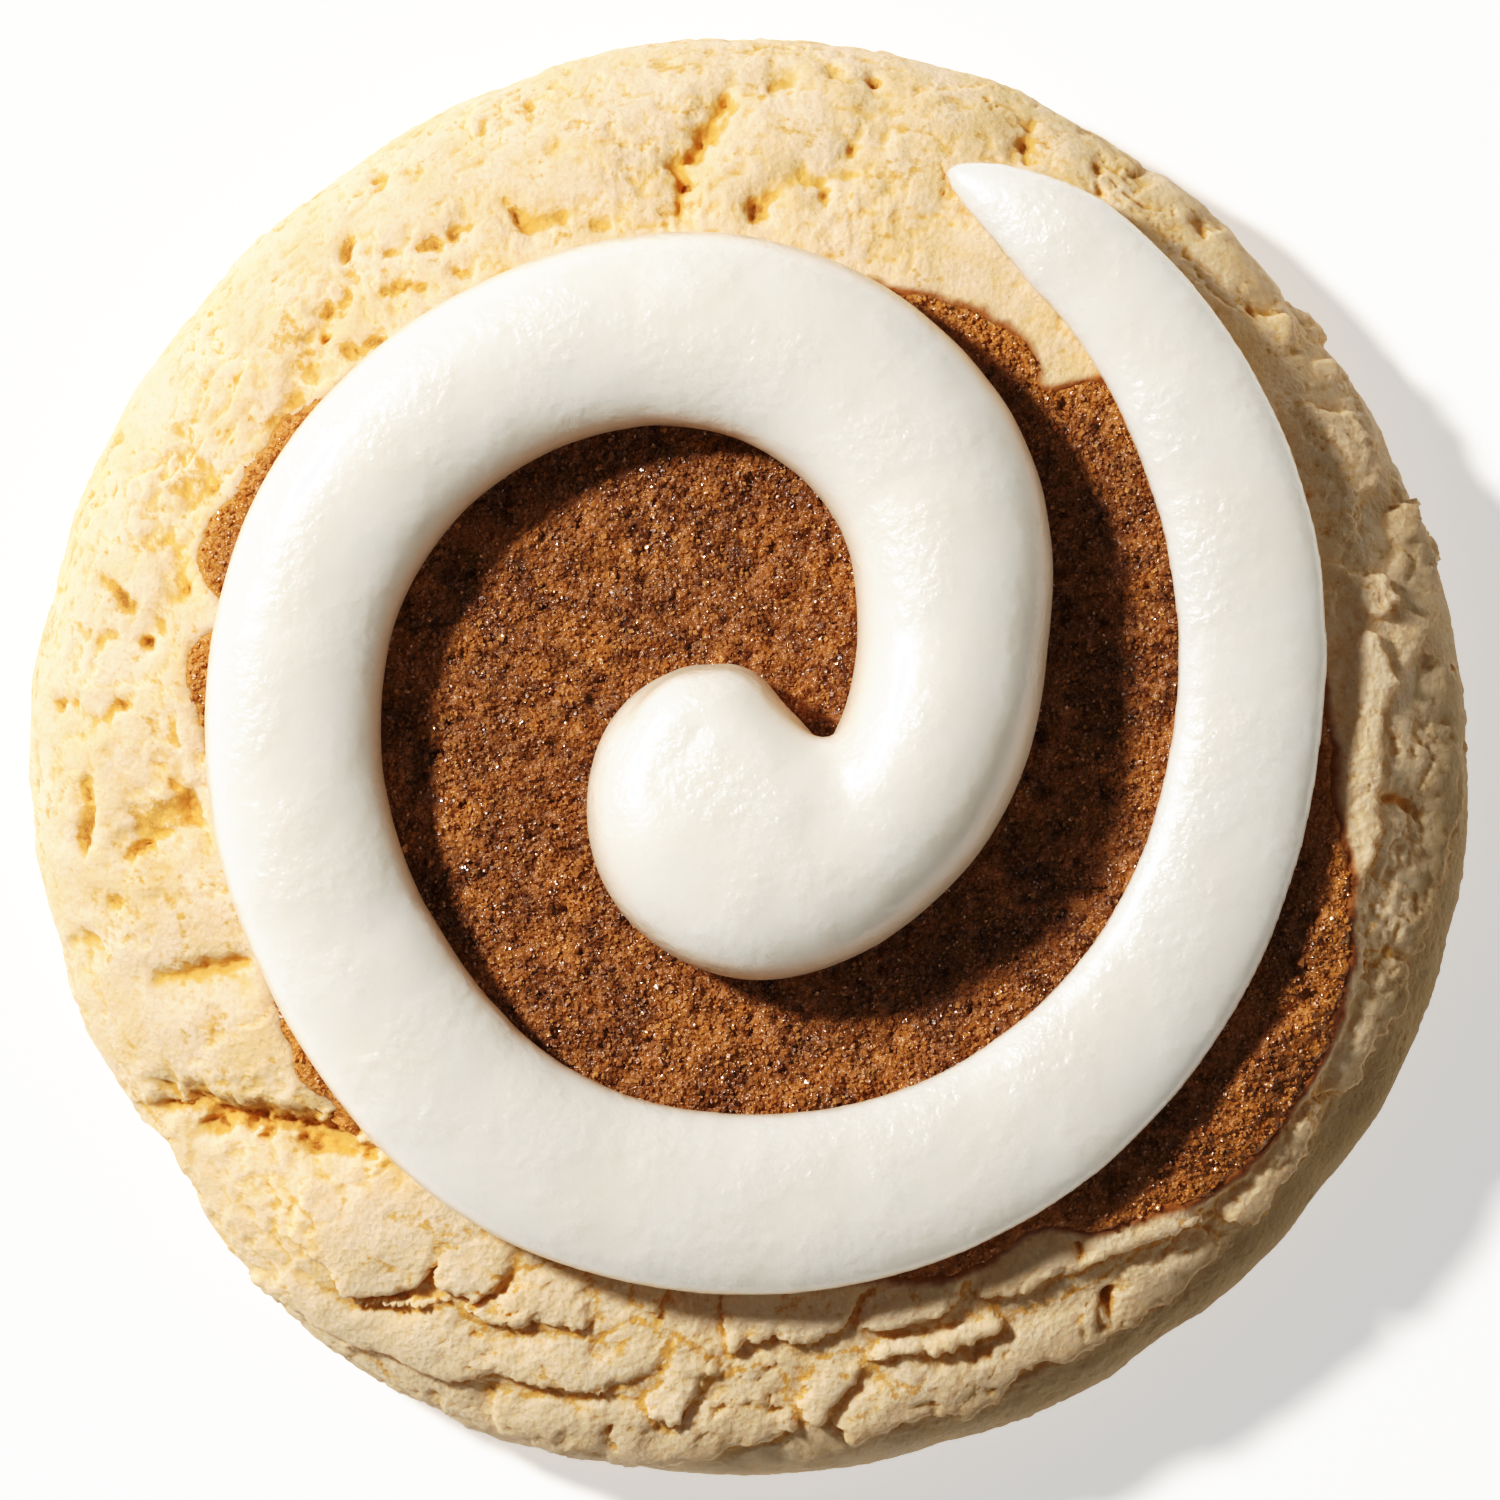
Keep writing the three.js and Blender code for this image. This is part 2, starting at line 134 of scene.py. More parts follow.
def noise(points, size, seed):
    """Smooth noise from -1 to 1 with bumps about size across."""
    q = points / size
    base = np.floor(q)
    f = q - base
    f = f * f * f * (f * (f * 6 - 15) + 10)
    total = 0.0
    for corner in product((0, 1), repeat=3):
        weight = math.prod(f[:, n] if step else 1 - f[:, n] for n, step in enumerate(corner))
        total = total + weight * hash01(*(base + corner).T, seed)
    return total * 2 - 1


def layered(points, size, seed, layers=3, gain=0.5):
    """Noise with finer and fainter noise on top, from about -1 to 1."""
    total, weight, sum_of_weights = 0.0, 1.0, 0.0
    for layer in range(layers):
        total = total + weight * noise(points + 17.3 * layer, size / 2**layer, seed + layer)
        sum_of_weights += weight
        weight *= gain
    return total / sum_of_weights


def cells(points, size, seed):
    """Scattered cells about size across: the distance to the nearest cell's centre, and a random
    number that belongs to that cell."""
    q = points / size
    base = np.floor(q)
    nearest = np.full(len(q), 9.0)
    own = np.zeros(len(q))
    for offset in product((-1, 0, 1), repeat=3):
        at = base + offset
        centre = at + np.stack([hash01(*at.T, seed + n) for n in range(3)], axis=1)
        distance = np.linalg.norm(q - centre, axis=1)
        closer = distance < nearest
        own = np.where(closer, hash01(*at.T, seed + 3), own)
        nearest = np.where(closer, distance, nearest)
    return nearest * size, own


def smoothstep(value, low, high):
    t = np.clip((value - low) / (high - low), 0, 1)
    return t * t * (3 - 2 * t)


# ----- The cookie's shape as functions


def smooth_value(values, place, closed):
    """A smooth curve through evenly spaced values, at places counted in values."""
    values = np.asarray(values, float)
    count = len(values)
    first = np.floor(place).astype(int)
    f = place - first
    pick = (lambda i: values[i % count]) if closed else (lambda i: values[np.clip(i, 0, count - 1)])
    a, b, c, d = pick(first - 1), pick(first), pick(first + 1), pick(first + 2)
    return b + 0.5 * f * (c - a + f * (2 * a - 5 * b + 4 * c - d + f * (3 * (b - c) + d - a)))


def degrees_of(x, y):
    return np.degrees(np.arctan2(y, x)) % 360


def even_rim_radius(degrees):
    return smooth_value(RIM_RADII, degrees % 360 / 30, True)


def rim_radius(degrees):
    past = (degrees - RIM_STEP_ANGLE) % 360
    step_in = smoothstep(past, 0, RIM_STEP_START) * (1 - smoothstep(past, 0, RIM_STEP_FADE))
    return even_rim_radius(degrees) - RIM_STEP_DEPTH * step_in


def bell(distance, half):
    """1 where the distance is 0, falling softly to nothing at about twice half."""
    return np.exp(-((distance / half) ** 2))


def around(degrees, middle, half):
    """A soft window of angles."""
    return bell((degrees - middle + 180) % 360 - 180, half)


def patch_radius(degrees):
    radius = smooth_value(PATCH_RADII, degrees % 360 / 30, True)
    for angle, reach, half_width in PATCH_LOBES:
        radius = radius + reach * around(degrees, angle, half_width)
    return radius


def top_height(x, y):
    """Height of the smooth top of the cookie, which stands fuller beside the icing's arm."""
    degrees = degrees_of(x, y)
    share = np.minimum(np.hypot(x, y) / even_rim_radius(degrees), 1)
    dome = (1 - share**DOME_POWER) ** (1 / SHOULDER_POWER)
    swell = smoothstep(share, 0.72, 0.87) * (1 - smoothstep(share, 0.89, 0.98))
    rise = SWELL * swell * around(degrees, SWELL_ANGLE, SWELL_REACH)
    return np.minimum(COOKIE_HEIGHT, BELLY_HEIGHT + (DOME_PEAK - BELLY_HEIGHT) * dome + rise)


def inside_patch(x, y):
    """How far inside the patch's edge a point is; negative outside."""
    dx, dy = x - PATCH_X, y - PATCH_Y
    flat = np.stack([x, y, np.zeros_like(x)], axis=-1).reshape(-1, 3)
    ragged = PATCH_RAGGEDNESS * layered(flat, PATCH_RAG_SIZE, 71, 3, 0.6).reshape(np.shape(x))
    return patch_radius(degrees_of(dx, dy)) + ragged - np.hypot(dx, dy)


# ----- Making objects


def mesh_object(name, vertices, faces, attributes=None, smooth=True):
    """A mesh from millimetre vertices, with a number for each vertex under each attribute's name."""
    mesh = bpy.data.meshes.new(name)
    faces = np.asarray(faces)
    mesh.vertices.add(len(vertices))
    mesh.vertices.foreach_set("co", (np.asarray(vertices) * MM).astype(np.float32).ravel())
    sides = faces.shape[1]
    mesh.loops.add(faces.size)
    mesh.loops.foreach_set("vertex_index", faces.astype(np.int32).ravel())
    mesh.polygons.add(len(faces))
    mesh.polygons.foreach_set("loop_start", np.arange(0, faces.size, sides, dtype=np.int32))
    mesh.update(calc_edges=True)
    mesh.polygons.foreach_set("use_smooth", np.full(len(faces), smooth))
    for key, values in (attributes or {}).items():
        layer = mesh.attributes.new(key, "FLOAT", "POINT")
        layer.data.foreach_set("value", np.asarray(values, np.float32))
    mesh.validate()
    obj = bpy.data.objects.new(name, mesh)
    bpy.context.scene.collection.objects.link(obj)
    return obj


def ring_faces(rings, sectors):
    """Quads between neighbouring rings of a grid of vertices."""
    ring, sector = np.meshgrid(np.arange(rings - 1), np.arange(sectors), indexing="ij")
    after = (sector + 1) % sectors
    low, high = ring * sectors, (ring + 1) * sectors
    return np.stack([low + sector, low + after, high + after, high + sector], axis=-1).reshape(-1, 4)


# ----- Materials


def srgb(r, g, b):
    """A shader colour from screen values, 0 to 255."""
    parts = (v / 255 for v in (r, g, b))
    return tuple(p / 12.92 if p <= 0.04045 else ((p + 0.055) / 1.055) ** 2.4 for p in parts) + (1.0,)


class Look:
    """A material's node tree, written as plain calls that return output sockets."""

    def __init__(self, name):
        self.material = bpy.data.materials.new(name)
        self.material.use_nodes = True
        self.tree = self.material.node_tree
        self.tree.nodes.clear()
        self.surface = self.tree.nodes.new("ShaderNodeBsdfPrincipled")
        output = self.tree.nodes.new("ShaderNodeOutputMaterial")
        self.tree.links.new(self.surface.outputs[0], output.inputs["Surface"])
        self.place = self.node("ShaderNodeTexCoord").outputs["Object"]

    def node(self, kind, inputs=None, **settings):
        made = self.tree.nodes.new(kind)
        for key, value in settings.items():
            setattr(made, key, value)
        for key, value in (inputs or {}).items():
            self.put(made.inputs[key], value)
        return made

    def put(self, socket, value):
        if isinstance(value, bpy.types.NodeSocket):
            self.tree.links.new(value, socket)
        else:
            socket.default_value = value

    def set(self, **inputs):
        for key, value in inputs.items():
            self.put(self.surface.inputs[key.replace("_", " ")], value)

    def scatter_quickly(self):
        """Light below the surface spreads by a simple falloff, which takes less time to render."""
        self.surface.subsurface_method = "BURLEY"

    def attribute(self, name):
        return self.node("ShaderNodeAttribute", attribute_name=name).outputs["Fac"]

    def noise(self, size, detail=3.0, roughness=0.5, place=None):
        inputs = {"Vector": place or self.place, "Scale": 1 / (size * MM)}
        inputs.update({"Detail": detail, "Roughness": roughness})
        return self.node("ShaderNodeTexNoise", inputs).outputs["Fac"]

    def grains(self, size):
        """Cells about size across: (distance, colour) outputs."""
        made = self.node("ShaderNodeTexVoronoi", {"Vector": self.place, "Scale": 1 / (size * MM)})
        return made.outputs["Distance"], made.outputs["Color"]

    def ramp(self, value, low, high, to_low=0.0, to_high=1.0):
        made = self.node(
            "ShaderNodeMapRange",
            {"Value": value, "From Min": low, "From Max": high, "To Min": to_low, "To Max": to_high},
            interpolation_type="SMOOTHSTEP",
        )
        return made.outputs["Result"]

    def math(self, operation, a, b=0.0):
        made = self.node("ShaderNodeMath", operation=operation)
        self.put(made.inputs[0], a)
        self.put(made.inputs[1], b)
        return made.outputs[0]

    def mix(self, share, a, b):
        made = self.node("ShaderNodeMix", data_type="RGBA")
        self.put(made.inputs[0], share)
        self.put(made.inputs[6], a)
        self.put(made.inputs[7], b)
        return made.outputs[2]

    def bump(self, height, depth, strength=1.0, normal=None):
        inputs = {"Height": height, "Distance": depth * MM, "Strength": strength}
        if normal is not None:
            inputs["Normal"] = normal
        return self.node("ShaderNodeBump", inputs).outputs["Normal"]

    def facets(self, colour, tilt, normal=None):
        """Normals tilted at random for each grain, from its random colour."""
        normal = normal or self.node("ShaderNodeNewGeometry").outputs["Normal"]
        steps = {"SUBTRACT": {1: (0.5, 0.5, 0.5)}, "SCALE": {"Scale": tilt}, "ADD": {1: normal}}
        made = colour
        for operation, inputs in {**steps, "NORMALIZE": {}}.items():
            made = self.node("ShaderNodeVectorMath", {0: made, **inputs}, operation=operation).outputs[0]
        return made


def dough_look():
    look = Look("baked_dough")
    fray = look.math("MULTIPLY", look.math("SUBTRACT", look.noise(0.7, 4.0, 0.7), 0.5), 1.1)
    crevice = look.math("ADD", look.attribute("crevice"), fray)
    hollow = look.attribute("hollow")
    mottle = look.noise(4.0, 5.0, 0.65)
    speckle = look.noise(1.0, 4.0, 0.65)
    cream = look.mix(look.ramp(mottle, 0.36, 0.64), srgb(251, 221, 183), srgb(246, 209, 157))
    # painted shade: small dents turn golden, as their shaded sides would
    dimple_shaded = look.mix(look.ramp(look.attribute("dimple_shade"), 0.0, 1.0, 0.0, 0.5), cream, srgb(233, 183, 104))
    # painted shade: broad hollows are golden, and deeper ones more so
    hollow_shaded = look.mix(look.ramp(hollow, 0.0, 0.55), dimple_shaded, srgb(231, 179, 97))
    deep = look.mix(look.ramp(hollow, 0.5, 1.0), hollow_shaded, srgb(212, 149, 64))
    dull = look.mix(look.ramp(look.attribute("slabs"), 0.0, 1.0, 0.0, 0.5), deep, srgb(236, 214, 184))
    # cracks, tears and pits: partly the yellower crumb inside them, partly painted shade, browner where
    # deeper
    ochre = look.mix(look.ramp(crevice, 0.16, 0.42), dull, srgb(222, 166, 88))
    brown = look.mix(look.ramp(crevice, 0.46, 0.8), ochre, srgb(172, 112, 48))
    flecks = look.mix(look.ramp(speckle, 0.56, 0.72, 0.0, 0.3), brown, srgb(232, 180, 100))
    fine = look.noise(0.3, 4.0, 0.75)
    # painted shade: the low points of the fine bump below are turned golden
    fine_pit_shaded = look.mix(look.ramp(fine, 0.52, 0.34, 0.0, 0.35), flecks, srgb(234, 184, 106))
    # painted shade: the lower right of the rim, turned away from the key light, is darker and browner
    with_rim_shade = look.mix(look.attribute("rim_shade"), fine_pit_shaded, srgb(184, 154, 110))
    stained = look.mix(look.attribute("stain"), with_rim_shade, srgb(168, 100, 46))
    look.scatter_quickly()
    sandy, _ = look.grains(0.5)
    crumbly = look.ramp(look.attribute("slabs"), 0.0, 1.0, 0.75, 1.15)
    coarse = look.bump(look.math("MULTIPLY", sandy, crumbly), 0.11, 1.0)
    look.set(
        Base_Color=stained,
        Roughness=look.ramp(fine, 0.3, 0.7, 0.5, 0.8),
        Diffuse_Roughness=0.6,
        Normal=look.bump(look.math("MULTIPLY", fine, crumbly), 0.18, 1.0, coarse),
        Subsurface_Weight=0.6,
        Subsurface_Radius=(1.0, 0.62, 0.34),
        Subsurface_Scale=0.0011,
        Specular_IOR_Level=0.3,
    )
    return look.material


def cinnamon_tint(look):
    """Brown sugar, darker and lighter in clumps."""
    blotch = look.noise(2.6, 5.0, 0.7)
    zone = look.noise(5.0, 4.0, 0.65)
    brown = look.mix(look.ramp(blotch, 0.38, 0.6), srgb(106, 60, 28), srgb(150, 92, 46))
    return look.mix(look.ramp(zone, 0.46, 0.66, 0.0, 0.75), brown, srgb(190, 122, 60))


def cinnamon_look():
    look = Look("cinnamon_sugar")
    look.scatter_quickly()
    distance, colour = look.grains(0.42)
    small_distance, small_colour = look.grains(0.2)
    pick = look.node("ShaderNodeSeparateColor", {"Color": colour})
    small = look.node("ShaderNodeSeparateColor", {"Color": small_colour})
    tint = cinnamon_tint(look)
    grain = look.mix(look.ramp(pick.outputs[0], 0.3, 1.0, 0.0, 0.45), tint, srgb(172, 106, 48))
    fine = look.mix(look.ramp(small.outputs[0], 0.5, 1.0, 0.0, 0.4), grain, srgb(200, 134, 74))
    shade = look.mix(look.ramp(look.attribute("pit"), 0.0, 1.0, 0.0, 0.5), fine, srgb(62, 30, 12))
    edge = look.mix(look.attribute("thin"), shade, srgb(210, 138, 64))
    relief = look.bump(distance, 0.2, 0.9, look.facets(colour, 0.4))
    glint = look.facets(small_colour, 0.5, look.bump(small_distance, 0.1, 0.8, relief))
    look.set(
        Base_Color=edge,
        Roughness=look.ramp(small.outputs[1], 0.3, 1.0, 0.5, 0.14),
        Normal=glint,
        Subsurface_Weight=0.35,
        Subsurface_Radius=(1.0, 0.5, 0.22),
        Subsurface_Scale=0.0009,
        Specular_IOR_Level=0.6,
    )
    return look.material


def icing_look():
    look = Look("white_icing")
    along = look.attribute("along")
    across = look.attribute("across")
    slant = math.radians(24)

    def turned(operation, one, two):
        one, two = look.math("MULTIPLY", one, math.cos(slant)), look.math("MULTIPLY", two, math.sin(slant))
        return look.math(operation, one, two)

    # fine streaks that run on a slant along the rope; these attributes are in millimetres
    lengthways = look.math("MULTIPLY", turned("ADD", along, across), 0.38)
    place = {"X": lengthways, "Y": turned("SUBTRACT", across, along), "Z": look.attribute("rise")}
    streaks = look.noise(0.7 / MM, 3.0, 0.6, look.node("ShaderNodeCombineXYZ", place).outputs[0])
    ripple = look.noise(0.8, 2.0, 0.5)
    broad = look.noise(7.0, 2.0, 0.5)
    tint = look.mix(look.ramp(broad, 0.3, 0.7), srgb(251, 240, 229), srgb(249, 237, 224))
    # painted shade: the steep flanks of the rope are darker and a warmer beige
    low = look.mix(look.ramp(look.attribute("steep"), 0.25, 0.8), tint, srgb(234, 214, 188))
    calm = look.ramp(look.noise(6.0, 2.0, 0.5), 0.42, 0.58, 0.35, 1.0)
    ripples = look.bump(look.math("MULTIPLY", ripple, calm), 0.26, 1.0)
    look.set(
        Base_Color=low,
        Roughness=look.ramp(streaks, 0.35, 0.65, 0.3, 0.42),
        Normal=look.bump(streaks, 0.03, 1.0, ripples),
        Subsurface_Weight=1.0,
        Subsurface_Radius=(1.0, 0.97, 0.94),
        Subsurface_Scale=0.0035,
        Specular_IOR_Level=0.5,
        Coat_Weight=0.5,
        Coat_Roughness=0.24,
    )
    return look.material


# ----- Baked dough

DOUGH_SECTORS = 1250
DOUGH_TOP_RINGS = 62
DOUGH_SIDE_RINGS = 10
DOUGH_RING_POWER = 1.4
UNDER_PATCH = 2.0  # how far the dough reaches in under the patch's edge
POCKET_DEPTH = 2.1
BROAD_BLUR, FINE_BLUR = 90, 6  # smoothing steps that a hollow and a dimple are measured against

# Cracks, dents and ledges: a line on the top, its depth and its half width. A ledge also has how
# much lower the dough lies outside the line, how far that reaches, and how far the lip leans over.
MARKS = [
    # lower left: an upper slab of dough that has slid over the rim
    ([(-44.8, -27.1), (-43.6, -26.7), (-41.6, -26.4), (-38.5, -27.3), (-33.4, -27.9), (-28, -29.4)],
     2, 1.4, 1, 9, 0),
    ([(-44.6, -25.6), (-43.2, -24.8)], 0.6, 0.9),
    ([(-41.8, -27.6), (-40, -28.6)], 0.9, 0.5),
    ([(-39.4, -27.4), (-38, -28.4), (-34, -29.3), (-31.8, -29.8)], 0.9, 0.5),
    ([(-39, -30), (-38.6, -30.7)], 0.8, 0.4),
    # left: a chain of cracks and small pits, soft dents, and a low ledge
    ([(-42.8, 16.6), (-42.4, 14.2), (-42.4, 12.8), (-43.8, 11.2)], 1.5, 0.45, 0.2, 3, 0.2),
    ([(-44, 10), (-45.2, 8.8), (-45.6, 7.6)], 1.6, 0.5, 0.2, 3, 0.2),
    ([(-45.9, 6.2), (-46.4, 4.9), (-47.8, 3.2), (-49, 1.8)], 1, 0.45),
    ([(-48.6, 13.4), (-47.6, 12.8), (-46.9, 11.4), (-46.2, 10.7)], 0.9, 0.5),
    ([(-49.7, -1.2), (-50, -3), (-50.1, -5.6), (-49.8, -7.6)], 1.1, 0.38),
    ([(-52, 3.9), (-50.2, 4)], 0.7, 0.4),
    ([(-43.2, 19), (-41.9, 20.3), (-40.3, 22.2)], 1.1, 1),
    ([(-41.8, 18.4), (-40.6, 19.8), (-38.4, 21.8)], 0.7, 0.4),
    ([(-45.4, 15.4), (-43.4, 17)], 0.6, 1.1),
    ([(-37, 24.2), (-35.2, 25.4), (-32.4, 26.8)], 0.9, 0.9, 0.2, 2, 0.2),
    ([(-49.8, 8), (-47.4, 9.6)], 0.6, 1.2),
    ([(-41.6, -0.4), (-40.2, -0.2)], 0.9, 0.5),
    ([(-46.6, -5.6), (-44, -4.6), (-41, -3.4)], 1.9, 1.5),
    ([(-46.8, -7.6), (-44.6, -6.6)], 0.9, 0.45),
    ([(-51, -13.8), (-50, -14.1), (-48.6, -13.9)], 0.6, 0.4, 0.3, 4, 0),
    ([(-48.4, -10.8), (-46.6, -11.4)], 0.6, 0.5),
    ([(-45.4, -17), (-42.4, -16.2), (-39.4, -15.6), (-37, -15.2)], 1, 0.8, 0.5, 4, 0),
    # upper left: pits, and shallow furrows along the rim
    ([(-29, 40.8), (-29.4, 39.4), (-30.4, 38), (-29.8, 36.6)], 0.9, 0.4),
    ([(-29, 35.6), (-30.6, 34), (-32, 32.2)], 1, 0.5),
    ([(-32.4, 32.2), (-31.8, 31)], 1.7, 0.55),
    ([(-32, 29.4), (-32.2, 27.8)], 2.2, 0.6),
    ([(-30.6, 29.5), (-28.8, 30.6), (-26.8, 30.9)], 0.8, 0.7),
    ([(-28, 37.6), (-24.4, 37.9), (-22, 38.6), (-20.6, 39.6)], 0.8, 0.45, 0.2, 2, 0.2),
    ([(-22.6, 36.3), (-20.6, 36.4)], 0.8, 0.4),
    ([(-27.6, 34.6), (-23.4, 35)], 0.7, 0.5),
    ([(-28.2, 43), (-27, 43.4)], 0.6, 0.3),
    ([(-17.4, 39.4), (-14, 40.2), (-9.4, 39.5)], 0.8, 0.8),
    ([(-18.4, 41.6), (-16.6, 39.4)], 0.8, 0.35),
    ([(-14.9, 45.8), (-14.4, 45)], 0.9, 0.4),
    ([(-16.8, 49.2), (-16, 48.6)], 0.6, 0.35),
    # top: cracks that run outward from the icing
    ([(-1.6, 50), (-2.6, 47.8), (-3.8, 45.8), (-4.6, 44)], 1.8, 0.75, 0.2, 3, 0),
    ([(-4.8, 43.8), (-6.6, 43.3), (-9.2, 42.6)], 1.2, 0.8),
    ([(-4.9, 43), (-5.2, 41), (-5.4, 39.2)], 1.5, 0.5),
    ([(0, 40), (1.4, 41.2), (3.8, 42.8), (5, 43.8)], 1.1, 0.5, 0.2, 2, 0),
    ([(8.2, 46.2), (7.6, 44.6), (5.6, 42.4), (5.8, 40.6)], 0.9, 0.4),
    ([(9.4, 51), (10, 48.6), (10.2, 46)], 1.3, 0.5),
    ([(1.4, 50.2), (3.4, 50.6)], 0.6, 0.8),
    ([(5.8, 50.8), (6.4, 51.8)], 0.6, 0.9),
    ([(21.6, 47.2), (20.6, 45.8), (20.6, 44)], 1.2, 0.7),
    ([(26.4, 44.4), (26.6, 42.2)], 0.7, 0.4),
    ([(28.8, 44), (29.6, 42.2)], 0.5, 1),
    ([(33.4, 40.4), (34.6, 38.6)], 0.7, 0.6),
    # bottom and right: short cracks that cross the slabs
    ([(-19.6, -47.8), (-19.6, -49.6)], 1, 0.4),
    ([(-11, -50.6), (-10.2, -52)], 0.8, 0.3),
    ([(26.9, -40.6), (26.6, -42.6)], 1.1, 0.4),
    ([(17.4, -44.4), (16.8, -45.6)], 1, 0.4),
    ([(24.4, -36.6), (25, -37.8)], 0.8, 0.3),
    ([(50.6, 6.5), (52.2, 6.9)], 0.6, 0.4),
    ([(50.6, 2.5), (51.9, 2.4)], 0.4, 0.3),
    ([(52, 1.4), (52.8, 1.2)], 0.4, 0.35),
    ([(47.6, -3.2), (49.2, -3.6), (50.6, -5)], 0.8, 0.5),
    ([(43.4, 3.2), (44.4, 2.9)], 0.7, 0.35),
    ([(37.4, 33), (39.8, 33.3)], 1.2, 0.4),
]

